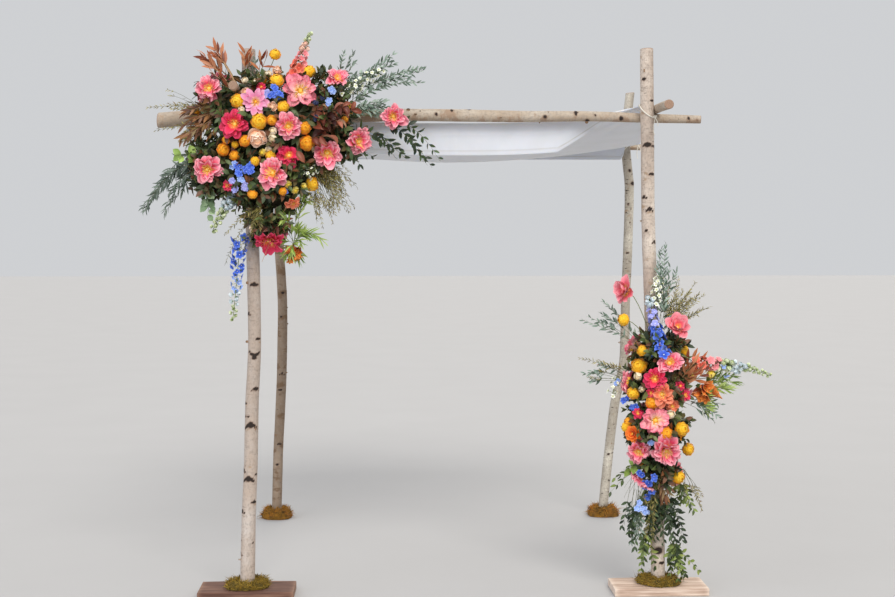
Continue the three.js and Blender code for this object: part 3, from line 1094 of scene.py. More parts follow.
@dataclass
class CanopyCloth:
    """The cotton cloth: cut square, tied by its corners under the bars, with a margin over each fold.

    belly is the height of its lowest line and belly_rise how fast that line rises to both sides, as a share
    of the squared distance. fold_end is where a fold runs down its front margin, as a place on X and a slant.
    fold is the radius of the round folds, and rolled the share of a margin's drop that lies in its fold.
    The front margin keeps its full drop up to full_margin from the middle and loses it over margin_taper
    more, both as shares of the half width, down to corner_drops at the front and rear corners. Ridges lie at
    shares across it and folds at metres along it, where it was packed, each crease wide. gather_gap is the
    distance between gathers.
    """

    node: str = "canopy_cloth"
    flat: tuple[float, float] = (2.0, 2.02)
    front: ClothEdge = ClothEdge(-0.842, (-0.925, 0.880), (2.303, 2.214, 2.303), 2.8, (2.268, 2.268))
    rear: ClothEdge = ClothEdge(0.916, (-0.938, 1.150), (2.200, 2.176, 2.225), 2.0, (2.165, 2.181))
    belly: float = 2.074
    belly_rise: float = 0.100
    front_margin: float = 0.150
    rear_hem: float = 2.121
    fold_end: tuple[float, float] = (0.609, -1.035)
    fold: float = 6 * MM
    rolled: float = 0.06
    full_margin: float = 0.552
    margin_taper: float = 0.311
    corner_drops: tuple[float, float] = (0.010, 0.008)
    ridges: tuple[float, ...] = (0.25, 0.5, 0.75)
    folds: tuple[float, ...] = (0.095, 0.55, 1.05, 1.55)
    crease: float = 0.006
    gather_gap: float = 0.021
    thickness: float = 0.9 * MM
    columns: int = 139
    rows: int = 112
    margin_rows: tuple[int, int] = (28, 16)

    def section(self, share: Array) -> Array:
        """Gives the cloth's resting points before its creases.

        Formula: each section from front to rear hangs as a parabola between the two fold lines, and each
        margin drops straight from its fold, with round folds between them.

        Args:
            share: Place across the cloth, from 0 at the left edge to 1 at the right.

        Returns:
            Points in an array of shape (rows, columns, 3).
        """
        from_middle = np.abs(2 * share - 1)
        (front_x, front_z), (rear_x, rear_z) = self.front.line(share), self.rear.line(share)
        full = 1 - np.clip((from_middle - self.full_margin) / self.margin_taper, 0, 1)
        front_tip, rear_tip = self.corner_drops
        front_drop = front_tip + (self.front_margin - front_tip) * full
        rear_full = 1 - smooth(0.905, 0.93, from_middle)
        rear_drop = rear_tip + (rear_z - self.rear_hem - rear_tip) * rear_full
        turns = np.linspace(0, math.pi / 2, 5)[1:-1]
        points = []
        for t in np.linspace(1, self.rolled, self.margin_rows[0]):
            drop = t * front_drop
            beyond = front_x - self.fold_end[0] - self.fold_end[1] * drop
            back = 0.2 * np.maximum(beyond, 0) * smooth(0, 0.05, drop)
            points.append([front_x, self.front.y - self.fold + back, front_z - drop])
        for turn in turns:
            y = self.front.y - self.fold * math.cos(turn)
            z = front_z - self.rolled * front_drop * (1 - math.sin(turn))
            points.append([front_x, y + 0 * share, z])
        for t in np.linspace(0, 1, self.rows - sum(self.margin_rows) - 2 * len(turns)):
            x = front_x + (rear_x - front_x) * t
            hollow = (front_z + rear_z) / 2 - self.belly - self.belly_rise * x**2
            z = front_z + (rear_z - front_z) * t - hollow * (1 - (2 * t - 1) ** 2)
            points.append([x, self.front.y + (self.rear.y - self.front.y) * t + 0 * share, z])
        for turn in turns:
            y = self.rear.y + self.fold * math.sin(turn)
            points.append([rear_x, y + 0 * share, rear_z - self.rolled * rear_drop * (1 - math.cos(turn))])
        for t in np.linspace(self.rolled, 1, self.margin_rows[1]):
            points.append([rear_x, self.rear.y + self.fold + 0 * share, rear_z - t * rear_drop])
        return np.moveaxis(np.array(points), 1, 2)

    def creases(self, points: Array, along: Array, share: Array) -> Array:
        """Gives how far the cloth stands off its resting surface.

        Formula: pleats that fan out from each tied corner, as a cosine of the angle about it that dies away
        with distance; soft waves along the folds; the sharp ridges where the cloth lay folded; and gathers, a
        cosine of the place across, at the left of the front fold.

        Args:
            points: Resting points.
            along: Length of cloth from the front edge to each point.
            share: Place across the cloth, from 0 to 1.

        Returns:
            Heights along the normal, one for each point.
        """
        height = np.zeros(points.shape[:2])
        edges = (self.front, self.rear)
        corners = [(edge.x[side], edge.y, edge.heights[2 * side]) for edge in edges for side in (0, 1)]
        for i, corner in enumerate(corners):
            away = points - np.array(corner)
            far = np.linalg.norm(away, axis=-1)
            turn = np.arctan2(np.abs(away[..., 1]), np.abs(away[..., 0]) + 0.01)
            pleat = np.cos(turn * 15 + 1.3 * i) * 5 * MM + np.cos(turn * 31 + i) * 2 * MM
            height += pleat * np.exp(-far / 0.30) * smooth(0, 0.08, far)
        edge = smooth(0.30, 0.0, along) + smooth(0.18, 0.0, along[-1:] - along)
        wave = lattice_noise(points * (1, 0.15, 0.15), 0.11, 5)
        wave += 0.6 * lattice_noise(points * (1, 0.2, 0.2), 0.045, 6)
        height += 0.5 * wave * MM * edge
        height += 2.5 * MM * lattice_noise(points * (1, 0.6, 0), 0.35, 8)
        for ridge in self.ridges:
            height += 1.6 * MM * np.exp(-np.abs(share[None] - ridge) * self.flat[0] / self.crease)
        for fold in self.folds:
            height += 1.8 * MM * np.exp(-np.abs(along - fold) / self.crease)
        gathers = np.cos(share[None] * self.flat[0] * TURN / self.gather_gap)
        left = smooth(0.30, 0.24, share)[None]
        height += 3.5 * MM * gathers * left * np.exp(-((along - self.front_margin) ** 2) / 0.012**2)
        return height

    def build(self) -> None:
        """Builds the cloth as a closed sheet of its own thickness, doubled at its hems."""
        share = np.linspace(0, 1, self.columns)
        rest = self.section(share)
        steps = np.linalg.norm(np.diff(rest, axis=0), axis=-1)
        along = np.concatenate([np.zeros((1, self.columns)), np.cumsum(steps, axis=0)])
        normal = unit(np.cross(np.gradient(rest, axis=1), np.gradient(rest, axis=0)))
        points = rest + normal * self.creases(rest, along, share)[..., None]
        across = np.broadcast_to(share * self.flat[0], along.shape)
        border = np.minimum(np.minimum(along, along[-1:] - along), np.minimum(across, self.flat[0] - across))
        hem = 1 + 1.4 * smooth(0.021, 0.018, border)
        stitch = (np.exp(-((border - 0.019) ** 2) / 0.0025**2) * 0.6)[None, ..., None]
        normal = unit(np.cross(np.gradient(points, axis=1), np.gradient(points, axis=0)))
        half = (self.thickness / 2 * hem)[..., None] * normal
        uv = np.stack([across, along], axis=-1)[None]
        grid = SheetGrid(*along.shape)
        pile = Pile()
        values = {"uv": grid.spread(uv, uv), "stitch": grid.spread(stitch, stitch)}
        pile.add(grid.place(points[None], half[None]), grid.faces(1), **values)
        cotton = CottonCloth("Bleached plain-woven cotton", 0.9).material()
        piece = pile.build("canopy_cloth_cotton", [cotton], "cotton_cloth", self.node)


CORD_TWIST = 60.0  # turns of a cord's strands for each metre


def add_tubes(
    pile: Pile, path: Array, radius: Array | float, tone: str, sides: int = 4, lobes: int = 0
) -> None:
    """Adds closed tubes of one colour along paths, many at once.

    Formula: at each point of a path, a ring of the given radius lies across its tangent. The ring's first
    direction is the world's up or side direction made square to the tangent. With lobes, the ring is waved
    by a cosine that turns with the length, as the strands of a cord do.

    Args:
        pile: The pile that gets them.
        path: Points of shape (tubes, steps, 3).
        radius: Radii of shape (tubes, steps) or one number.
        tone: Their hex colour.
        sides: Points round each ring.
        lobes: Number of strands that show.
    """
    tubes, steps = path.shape[:2]
    tangent = unit(np.gradient(path, axis=1))
    mean = unit(path[:, -1] - path[:, 0] + 1e-9)
    guide = np.where(np.abs(mean[:, 2:]) > 0.8, np.array([[1.0, 0, 0]]), UP)[:, None]
    side = unit(np.cross(np.broadcast_to(guide, path.shape), tangent))
    other = np.cross(tangent, side)
    angle = full_turn(sides)
    gone = np.cumsum(np.linalg.norm(np.diff(path, axis=1), axis=-1), 1)
    length = np.concatenate([np.zeros((tubes, 1)), gone], 1)[..., None]
    waved = 1 + (0.16 * np.cos(lobes * (angle - TURN * CORD_TWIST * length)) if lobes else 0 * angle)
    ring = np.cos(angle)[:, None] * side[:, :, None] + np.sin(angle)[:, None] * other[:, :, None]
    reach = np.broadcast_to(radius, (tubes, steps))[..., None] * waved
    points = with_poles(path[:, 0], path[:, :, None] + ring * reach[..., None], path[:, -1])
    uv = np.stack(np.broadcast_arrays(angle / TURN, length), axis=-1)
    uv = with_poles(uv[:, 0, 0], uv, uv[:, -1, -1])
    faces = [repeated(some, tubes, points.shape[1]) for some in capped_faces(steps, sides)]
    pile.add(points, faces, tint=np.broadcast_to(linear(tone), points.shape), uv=uv)


CORD = Tinted("Twisted cotton cord", roughness=0.92, streak=0.2, width=8.0, sheen=0.1)
CORD_TONE = "#e9e4d8"


@dataclass
class ClothTie:
    """A cotton cord round a post that holds a corner of the cloth, knotted on the outer side.

    height, rise and pull shape its ring as in the CAD node: where it lies, how much higher its side towards
    the cloth is, and how steeply it is drawn out to the cloth's corner. tails are its two ends' lengths.
    """

    node: str
    post: BirchLog
    corner: tuple[float, float]
    height: float
    tails: tuple[float, float]
    rise: float = 0.032
    pull: int = 8
    radius: float = 2.7 * MM
    gap: float = 0.4 * MM
    steps: int = 110

    def ring(self) -> Array:
        """Gives the ring's centre line.

        Formula: a circle that hugs the post, drawn out by a steep power of the cosine towards the corner,
        with its height a cosine of the angle from its high side.

        Returns:
            Points of shape (steps, 3).
        """
        levels, rows = self.post.axis()
        inner = 0.0 if "rear" in self.node else 1.0 if "left" in self.node else -1.0
        x, y, _ = hermite(levels, rows, np.array([self.height + self.rise]))[0]
        away = np.array(self.corner) - (x, y)
        toward = math.atan2(away[1], away[0])
        reach = np.linalg.norm(away) - self.radius - self.gap
        high = unit(away) + (inner, 0)
        angle = full_turn(self.steps) + toward
        height = self.height + self.rise * np.cos(angle - math.atan2(high[1], high[0]))
        course = hermite(levels, rows, height)
        snug = course[:, 2] + self.radius + self.gap
        out = snug + (np.maximum(reach, snug) - snug) * np.maximum(0, np.cos(angle - toward)) ** self.pull
        x, y = course[:, 0] + out * np.cos(angle), course[:, 1] + out * np.sin(angle)
        return np.stack([x, y, height], axis=-1)

    def build(self) -> None:
        """Builds the cord: its closed ring, a trefoil knot on the outer side, and two cut tails."""
        line = self.ring()
        pile = Pile()
        add_tubes(pile, np.concatenate([line, line[:1]])[None], self.radius, CORD_TONE, 10, 3)
        out = -1 if "left" in self.node else 1
        outer = line[np.argmax(line[:, 0] * out - line[:, 1] * 0.3)]
        turn = np.linspace(0, TURN, 60)
        size = self.radius * 1.5
        wide, tall = np.sin(turn) + 2 * np.sin(2 * turn), np.cos(turn) - 2 * np.cos(2 * turn)
        knot = np.stack([wide, 0.9 * np.sin(3 * turn), tall], axis=-1)
        centre = outer + np.array([0.3 * out, -0.8, 0]) * size * 1.6
        add_tubes(pile, (centre + knot * size * 0.62)[None], self.radius * 0.8, CORD_TONE, 8, 3)
        t = np.linspace(0, 1, 22)[:, None]
        for side, length in zip((-1, 1), self.tails):
            drop = np.array([side * 0.16 + 0.12 * out, -0.10, -1.0])
            curl = np.array([side * 0.25, 0.1, 0.12])
            tail = centre + length * t * (drop + curl * t * (1 - t) * 2)
            add_tubes(pile, tail[None], self.radius * 0.85 * (1 - 0.25 * t[:, 0]), CORD_TONE, 8, 3)
        pile.build(self.node + "_cord", [CORD.material()], "cotton_cord", self.node)


def spin(axes: Array, turns: Array) -> Array:
    """Gives unit directions across axes.

    Args:
        axes: Unit vectors of shape (n, 3).
        turns: Angles about them, of shape (n, k).

    Returns:
        Directions of shape (n, k, 3).
    """
    guide = np.where(np.abs(axes[:, 2:]) > 0.9, np.array([[1.0, 0, 0]]), UP)
    first = unit(np.cross(guide, axes))
    second = np.cross(axes, first)
    return np.cos(turns)[..., None] * first[:, None] + np.sin(turns)[..., None] * second[:, None]


def bend_between(start: Array, control: Array, end: Array, share: Array) -> Array:
    """Gives points at shares of the parabolas that leave start towards control and come to end from it."""
    start, control, end = start[:, None], control[:, None], end[:, None]
    return (1 - share) ** 2 * start + 2 * share * (1 - share) * control + share**2 * end


@dataclass(frozen=True)
class Blade:
    """The outline of a petal or a leaf, as a grid that bends, cups and ruffles.

    base is its width at the root and tip its width at the last row, as shares of its widest. widest says
    where that is, and rounding how much sooner its sides end than its middle.
    """

    rows: int = 5
    columns: int = 5
    base: float = 0.25
    widest: float = 0.6
    tip: float = 0.6
    rounding: float = 0.22
    half_thickness: float = 0.35 * MM

    def lay(
        self, pile: Pile, frames: Trio, size: Array, pose: tuple[Array | float, ...], tones: Trio,
        under: Array | None = None,
    ) -> None:
        """Adds blades to a pile, all at once.

        Formula: the midrib is an arc. It leaves the root at an angle of lean from the axis towards outward,
        and turns by curl up to its tip. Across it, the blade stands off towards its inner side by cup times
        the square of the place across, and by a sine ruffle that grows along it.

        Args:
            pile: The pile that gets them.
            frames: Their roots, the unit vectors that they lean to, and their axes square to those, each of
                shape (n, 3).
            size: Length and half width of each blade, of shape (n, 2).
            pose: Lean and curl in degrees, cup, and ruffle.
            tones: Colours of shape (n, 3) at the root, in the middle and at the rim.
            under: Colours of the back, where it differs.
        """
        grid = SheetGrid(self.rows, self.columns)
        across, along = np.meshgrid(np.linspace(-1, 1, self.columns), np.linspace(0, 1, self.rows))
        roots, outward, axis = (a[:, None, None] for a in frames)
        count = len(roots)
        lean, curl, cup, ruffle = (np.broadcast_to(p, (count,))[:, None, None] for p in pose)
        lean, curl = np.radians(lean), np.radians(np.where(np.abs(curl) < 0.5, 0.5, curl))
        length, width = size[:, 0, None, None], size[:, 1, None, None]
        reach = along * (1 - self.rounding * across**2 * along)
        turn = lean + curl * reach
        rise = self.base + (1 - self.base) * np.sin(math.pi / 2 * np.minimum(along / self.widest, 1))
        fall = np.cos(math.pi / 2 * np.clip((along - self.widest) / (1 - self.widest), 0, 1))
        share = width * rise * (self.tip + (1 - self.tip) * fall)
        phase = np.arange(count)[:, None, None] * 2.4
        lift = cup * share * across**2 + ruffle * length * along**2 * np.sin(1.9 * math.pi * across + phase)
        out = length * (np.cos(lean) - np.cos(turn)) / curl - lift * np.cos(turn)
        up = length * (np.sin(turn) - np.sin(lean)) / curl + lift * np.sin(turn)
        middle = roots + out[..., None] * outward + up[..., None] * axis
        middle = middle + (share * across)[..., None] * np.cross(outward, axis)
        inner = -np.cos(turn)[..., None] * outward + np.sin(turn)[..., None] * axis
        root, main, rim = (tone[:, None, None] for tone in tones)
        low = smooth(0.5, 0.08, along)[..., None]
        high = smooth(0.55, 1.0, np.maximum(along, np.abs(across) * (0.4 + 0.6 * along)))[..., None]
        face = main + (root - main) * low + (rim - main) * high
        back = face * 0.9 if under is None else np.broadcast_to(under[:, None, None], face.shape)
        uv = np.broadcast_to(np.stack([across / 2 + 0.5, along], axis=-1), (count, *along.shape, 2))
        points = grid.place(middle, inner * self.half_thickness)
        pile.add(points, grid.faces(count), tint=grid.spread(face, back), uv=grid.spread(uv, uv))


PEEL = Blade(rows=6, columns=3, base=0.9, widest=0.5, tip=0.6, rounding=0.1, half_thickness=0.2 * MM)
CURLED_BARK = Tinted("Curled birch peel", roughness=0.75, streak=0.2, width=8.0)


@dataclass
class BarkPeels:
    """Thin curls of bark that stand off a log, each 8 to 19 mm long and 6 to 20 mm wide along it."""

    log: BirchLog
    count: int = 9

    def build(self) -> None:
        """Builds the curls.

        Formula: each is rooted on the log at a random place and turn. It leaves the bark nearly along it,
        round the log, and rolls back over itself.
        """
        rng = np.random.default_rng(self.log.seed + 500)
        along, *across = self.log.lie.value
        levels, rows = self.log.axis()
        at = rng.uniform(levels[0] + 0.12, levels[-1] - 0.08, self.count)
        course = hermite(levels, rows, at)
        angle = rng.uniform(0, TURN, self.count)
        radial, around, roots = np.zeros((3, self.count, 3))
        radial[:, across] = np.stack([np.cos(angle), np.sin(angle)], axis=-1)
        around[:, across] = np.stack([-np.sin(angle), np.cos(angle)], axis=-1)
        around *= rng.choice([-1, 1], (self.count, 1))
        roots[:, across], roots[:, along] = course[:, :2], at
        roots += radial * course[:, 2:3] * 0.995
        size = rng.uniform((0.008, 0.003), (0.019, 0.010), (self.count, 2))
        pose = (rng.uniform(70, 86, self.count), rng.uniform(-170, -60, self.count), 0.1, 0.03)
        hues = ("#c2b5a6", "#9c7d62", "#6b5342")
        pale, tan, dark = (np.broadcast_to(linear(c), (self.count, 3)) for c in hues)
        pile = Pile()
        PEEL.lay(pile, (roots, around, radial), size, pose, (tan, tan, dark), pale)
        pile.build(self.log.node + "_peels", [CURLED_BARK.material()], "birch_bark")


@dataclass(frozen=True)
class Whorl:
    """A ring of like petals. Lengths are shares of the bloom's radius, and angles are in degrees.

    ring is how far from the axis the petals are rooted, height how far up it, and uneven how much they vary.
    """

    count: int
    length: float
    width: float
    lean: float
    curl: float
    cup: float = 0.3
    ruffle: float = 0.04
    ring: float = 0.08
    height: float = 0.0
    uneven: float = 0.10


class Heart(Enum):
    """What stands in the middle of a bloom: how far its dome goes down, in degrees, and its stamens."""

    STAMENS = (90, 84)
    BUTTON = (90, 0)
    FILLED = (155, 0)


@dataclass(frozen=True)
class Species:
    """A kind of flower: its whorls from the outside in, the colours of its petals, and its heart.

    Its colours run from the petals' roots over their middle to their rims. heart_size is a share of the
    radius, vary how much its petals' brightness differs, and cluster how many heads stand together. Blooms of
    a kind are given as their centres of shape (n, 3), the unit vectors that they face along, and their radii.
    """

    whorls: tuple[Whorl, ...]
    tones: tuple[str, str, str]
    heart: Heart = Heart.FILLED
    heart_tones: tuple[str, ...] = ()
    heart_size: float = 0.70
    petal: Blade = Blade(rows=5, columns=6, widest=0.66, tip=0.74, rounding=0.17)
    sepals: str = "#5b6f3a"
    vary: float = 0.07
    cluster: int = 1

    def grow(self, pile: Pile, rng: Rng, blooms: Trio) -> None:
        """Adds blooms of this kind to a pile.

        Args:
            pile: The pile that gets them.
            rng: Source of the random differences.
            blooms: Their centres, facings and radii.
        """
        lowest = min(whorl.height for whorl in self.whorls) - 0.06
        calyx = Whorl(5, 0.5, 0.17, 92, -30, 0.3, 0.0, 0.0, lowest)
        self._ring(pile, rng, blooms, calyx, SEPAL, (self.sepals,) * 3)
        for whorl in self.whorls:
            self._ring(pile, rng, blooms, whorl, self.petal, self.tones)
        self._heart(pile, blooms)
        if self.heart.value[1]:
            self._stamens(pile, rng, blooms)

    def _ring(
        self, pile: Pile, rng: Rng, blooms: Trio, whorl: Whorl, blade: Blade, tones: tuple[str, ...]
    ) -> None:
        """Lays one whorl of every bloom.

        Formula: its petals are rooted on a circle about the bloom's axis at even turns, each moved and sized
        a little at random.

        Args:
            pile: The pile that gets them.
            rng: Source of the random differences.
            blooms: Their centres, facings and radii.
            whorl: The ring of petals.
            blade: Their outline.
            tones: Their hex colours at the root, in the middle and at the rim.
        """
        centres, facing, radii = blooms
        n, k = len(centres), whorl.count
        turns = np.arange(k) * TURN / k + rng.uniform(0, 6.3, (n, 1)) + rng.normal(0, whorl.uneven, (n, k))
        outward = spin(facing, turns)
        axis = np.broadcast_to(facing[:, None], outward.shape)
        scale = radii[:, None] * (1 + rng.normal(0, whorl.uneven * 0.6, (n, k)))
        roots = centres[:, None] + radii[:, None, None] * (whorl.ring * outward + whorl.height * axis)
        size = np.stack([scale * whorl.length, scale * whorl.width], axis=-1).reshape(-1, 2)
        lean = (whorl.lean + rng.normal(0, 60 * whorl.uneven, (n, k))).ravel()
        shade = 1 + rng.normal(0, self.vary, (n, k, 1))
        colours = tuple((np.array(linear(tone)) * shade).reshape(-1, 3) for tone in tones)
        frames = tuple(a.reshape(-1, 3) for a in (roots, outward, axis))
        blade.lay(pile, frames, size, (lean, whorl.curl, whorl.cup, whorl.ruffle), colours)

    def _stamens(self, pile: Pile, rng: Rng, blooms: Trio) -> None:
        """Stands stamens round the heart, leaning out more the further out they are.

        Args:
            pile: The pile that gets them.
            rng: Source of the random differences.
            blooms: Their centres, facings and radii.
        """
        centres, facing, radii = blooms
        n, k = len(centres), self.heart.value[1]
        place = np.sqrt(rng.uniform(0.12, 1, (n, k)))[..., None]
        outward = spin(facing, rng.uniform(0, 6.3, (n, k)))
        size = (radii * self.heart_size)[:, None, None]
        base = centres[:, None] + size * (0.65 * place * outward + 0.1 * facing[:, None])
        lean = unit(facing[:, None] + 0.7 * place * outward + rng.normal(0, 0.15, outward.shape))
        length = (size[..., 0] * rng.uniform(0.6, 0.95, (n, k))).ravel()
        width = np.repeat(radii * self.heart_size, k) * 0.16
        bend = rng.normal(0, 0.12, (n * k, 3))
        points, faces, uv = grow_strands(base.reshape(-1, 3), lean.reshape(-1, 3), bend, length, width)
        ramp = np.array([0.0, *[0.4] * 3, *[0.85] * 3, 1.0])
        picks = np.clip(ramp + rng.uniform(-0.2, 0.2, (n * k, 1)), 0, 1)
        pile.add(points, faces, tint=palette(self.heart_tones, picks), uv=uv)

    def _heart(self, pile: Pile, blooms: Trio) -> None:
        """Sets a beaded dome in the middle: rings that follow part of an ellipse, closed below.

        Args:
            pile: The pile that gets them.
            blooms: Their centres, facings and radii.
        """
        centres, facing, radii = blooms
        n, rings, sides = len(centres), 6, 10
        fall = np.linspace(0.16, 1.0, rings) * math.radians(self.heart.value[0])
        outward = spin(facing, np.broadcast_to(np.arange(sides) * TURN / sides, (n, sides)))[:, None]
        size = (radii * self.heart_size * (0.4 if self.heart is Heart.STAMENS else 1.0))[:, None, None, None]
        bead = 1 + 0.08 * np.cos(np.arange(rings) * math.pi)[:, None] * np.cos(np.arange(sides) * math.pi)
        out, rise = (f(fall)[:, None] * bead for f in (np.sin, np.cos))
        stand = 0.0 if self.heart is Heart.FILLED else 0.3
        away = out[..., None] * outward + (0.75 * rise[..., None] + stand) * facing[:, None, None]
        body = centres[:, None, None] + size * away
        ends = (0.8 * math.cos(fall[-1]) - 0.1, 0.8)
        poles = [centres + size[:, 0, 0] * (stand + height) * facing for height in ends]
        points = with_poles(poles[0], body[:, ::-1], poles[1])
        picks = np.concatenate([[0], np.linspace(0, 1, rings).repeat(sides) ** 1.5, [1]])
        tint = np.broadcast_to(palette(self.heart_tones or self.tones[:2], picks), points.shape)
        faces = [repeated(f, n, points.shape[1]) for f in capped_faces(rings, sides)]
        pile.add(points, faces, tint=tint, uv=np.zeros((*points.shape[:2], 2)))


def whorls(rows: tuple[tuple[float, ...], ...], *common: float, uneven: float = 0.10) -> tuple[Whorl, ...]:
    """Makes whorls of one cup and ruffle, from rows of count, length, width, lean, curl, ring and height."""
    return tuple(Whorl(*row[:5], *common, *row[5:], uneven=uneven) for row in rows)


SEPAL = Blade(rows=3, columns=3, base=0.6, widest=0.4, tip=0.25, rounding=0.3)
BALL_PETAL = Blade(rows=4, columns=4, base=0.5, widest=0.6, tip=0.75, rounding=0.25)
SMALL_PETAL = Blade(rows=3, columns=3, base=0.35, widest=0.6, tip=0.7, rounding=0.2)
NARROW_PETAL = Blade(rows=5, columns=5, base=0.45, widest=0.66, tip=0.7, rounding=0.16)

OPEN = (
    Whorl(9, 1.0, 0.34, 66, 30, 0.5, 0.10, uneven=0.2),
    Whorl(9, 0.88, 0.29, 54, 36, 0.6, 0.11, 0.1, 0.05, 0.2),
    Whorl(7, 0.70, 0.24, 38, 44, 0.7, 0.12, 0.2, 0.08, 0.2),
)
CUPPED = (
    Whorl(7, 1.15, 0.46, 68, -8, ruffle=0.05, uneven=0.16),
    Whorl(7, 1.05, 0.40, 44, 2, 0.4, 0.06, 0.1, 0.04, 0.16),
    Whorl(6, 0.85, 0.32, 24, 8, 0.5, 0.07, 0.14, 0.06, 0.16),
)
ROSE = (
    Whorl(5, 1.25, 0.66, 88, -52, 0.25, 0.03, 0.04, -0.35),
    Whorl(5, 1.35, 0.6, 92, -95, 0.2, 0.02, 0.04, -0.42),
    *whorls(
        ((6, 1.55, 0.56, 98, -138, 0.02, -0.34), (5, 1.22, 0.50, 98, -140, 0.02, -0.02),
         (5, 0.85, 0.38, 98, -142, 0.02, 0.30)), 0.15, 0.01, uneven=0.06,
    ),
)
BALL = tuple(
    Whorl(
        count, length, width, down - 82, -34, 0.35, 0.01,
        0.84 * math.sin(math.radians(down)), 0.84 * math.cos(math.radians(down)), 0.08,
    )
    for count, length, width, down in (
        (9, 0.66, 0.34, 118), (10, 0.62, 0.33, 92), (9, 0.56, 0.30, 66), (6, 0.44, 0.24, 40)
    )
)
BUD = whorls(
    ((4, 2.2, 0.66, 96, -160, 0.02, -0.7), (3, 2.0, 0.56, 96, -158, 0.02, -0.55)), 0.2, 0.0, uneven=0.05
)
RANUNCULUS = whorls(
    ((7, 1.0, 0.46, 80, -22, 0.06, -0.1), (7, 0.88, 0.42, 66, -22, 0.06, -0.05),
     (6, 0.72, 0.36, 48, -22, 0.06), (6, 0.55, 0.28, 30, -22, 0.06)), 0.25, 0.03,
)
STARRY = (
    Whorl(10, 1.0, 0.25, 70, 16, ring=0.12, uneven=0.14),
    Whorl(8, 0.8, 0.22, 56, 26, ring=0.12, height=0.04),
)
BELL = whorls(((6, 1.5, 0.36, 22, 24, 0.12, -0.5), (5, 1.2, 0.30, 10, 20, 0.1, -0.4)), 0.4, 0.04)
FLORET = (Whorl(5, 1.0, 0.46, 62, 30, 0.3, 0.03, 0.08, 0.0, 0.12),)
LIP = (Whorl(5, 1.15, 0.50, 12, 88, 0.5, 0.06, 0.16, -0.2, 0.12),)
GOLD = ("#d9820f", "#ffb820", "#ffe27c")
AMBER = ("#e0851c", "#f9ac26", "#ffd055")

CORAL_PEONY = Species(OPEN, ("#fed79a", "#ee3f6e", "#ffbac4"), Heart.STAMENS, GOLD, 0.58)
HOT_PEONY = replace(CORAL_PEONY, tones=("#f79a5e", "#dc0a44", "#ea4470"))
PALE_PEONY = replace(
    CORAL_PEONY, tones=("#fff8dc", "#fdbcbc", "#f4809a"), heart_tones=("#8a4a12", "#f5ab21", "#ffdc64")
)
SALMON_PEONY = replace(CORAL_PEONY, tones=("#fbcf96", "#f3744f", "#fba07f"))
CUP_PEONY = Species(CUPPED, ("#fbcf96", "#f0657c", "#fba9b2"), Heart.STAMENS, GOLD, 0.48)
LILAC_BLOOM = Species(STARRY, ("#fbd9cf", "#ee86b4", "#f8b3d2"), Heart.STAMENS, AMBER, 0.36, NARROW_PETAL)
YELLOW_BALL = Species(BALL, ("#ffb408", "#ffc008", "#ffd438"), heart_size=0.92, petal=BALL_PETAL)
ORANGE_BALL = replace(YELLOW_BALL, tones=("#ff9604", "#ffa606", "#ffba26"))
LEMON_BUD = Species(BUD, ("#b9b43a", "#f3d545", "#fae783"), petal=BALL_PETAL)
CREAM_BUD = replace(LEMON_BUD, tones=("#cfca90", "#f8e2ba", "#fdf2da"))
PEACH_ROSE = Species(ROSE, ("#ffb386", "#ffd2b0", "#ffe9d8"), heart_size=0.84, petal=BALL_PETAL)
DEEP_RANUNCULUS = Species(
    RANUNCULUS, ("#ea5f10", "#f9721a", "#fc9236"), Heart.BUTTON, ("#8a8f2c", "#c9a92e", "#f0d052"), 0.26,
    BALL_PETAL,
)
BLUE_FLORET = Species(
    FLORET, ("#263fa6", "#2c58d0", "#6c8ef0"), Heart.BUTTON, ("#c9d2f0", "#eef0fb"), 0.13, SMALL_PETAL,
    cluster=3,
)
SKY_FLORET = replace(BLUE_FLORET, tones=("#a9bff0", "#7ba0ee", "#b9cdf8"))
LILAC_FLORET = replace(BLUE_FLORET, tones=("#bdbaf0", "#8f99ea", "#c0bff5"))
WHITE_FLORET = replace(
    BLUE_FLORET, tones=("#c9d3a8", "#eef2e0", "#fbfcf4"), heart_tones=("#b5bf6a", "#e2dc8e"), heart_size=0.3
)
CORAL_LIP = Species(LIP, ("#f7ac86", "#f2604c", "#fb957c"), petal=SMALL_PETAL, heart_size=0.3)
PINK_LIP = replace(CORAL_LIP, tones=("#fac0b0", "#f58794", "#fcb3b2"))
GREEN_BUD = Species(BUD, ("#8aa060", "#b9c992", "#dfe5c6"), petal=SMALL_PETAL)
BLUSH_BUD = replace(GREEN_BUD, tones=("#b8b884", "#eebfa9", "#f6d5c6"))
PALE_BLUE_BUD = replace(GREEN_BUD, tones=("#9db39a", "#c6d7e2", "#e2ecf0"))
BERRY = replace(GREEN_BUD, cluster=3, tones=("#1f2440", "#2d3560", "#4f5a8c"))
ORANGE_BELL = Species(
    BELL, ("#8a3f16", "#dd6a20", "#f29a44"), Heart.STAMENS, ("#a85a1a", "#e8a33a"), 0.36, NARROW_PETAL
)


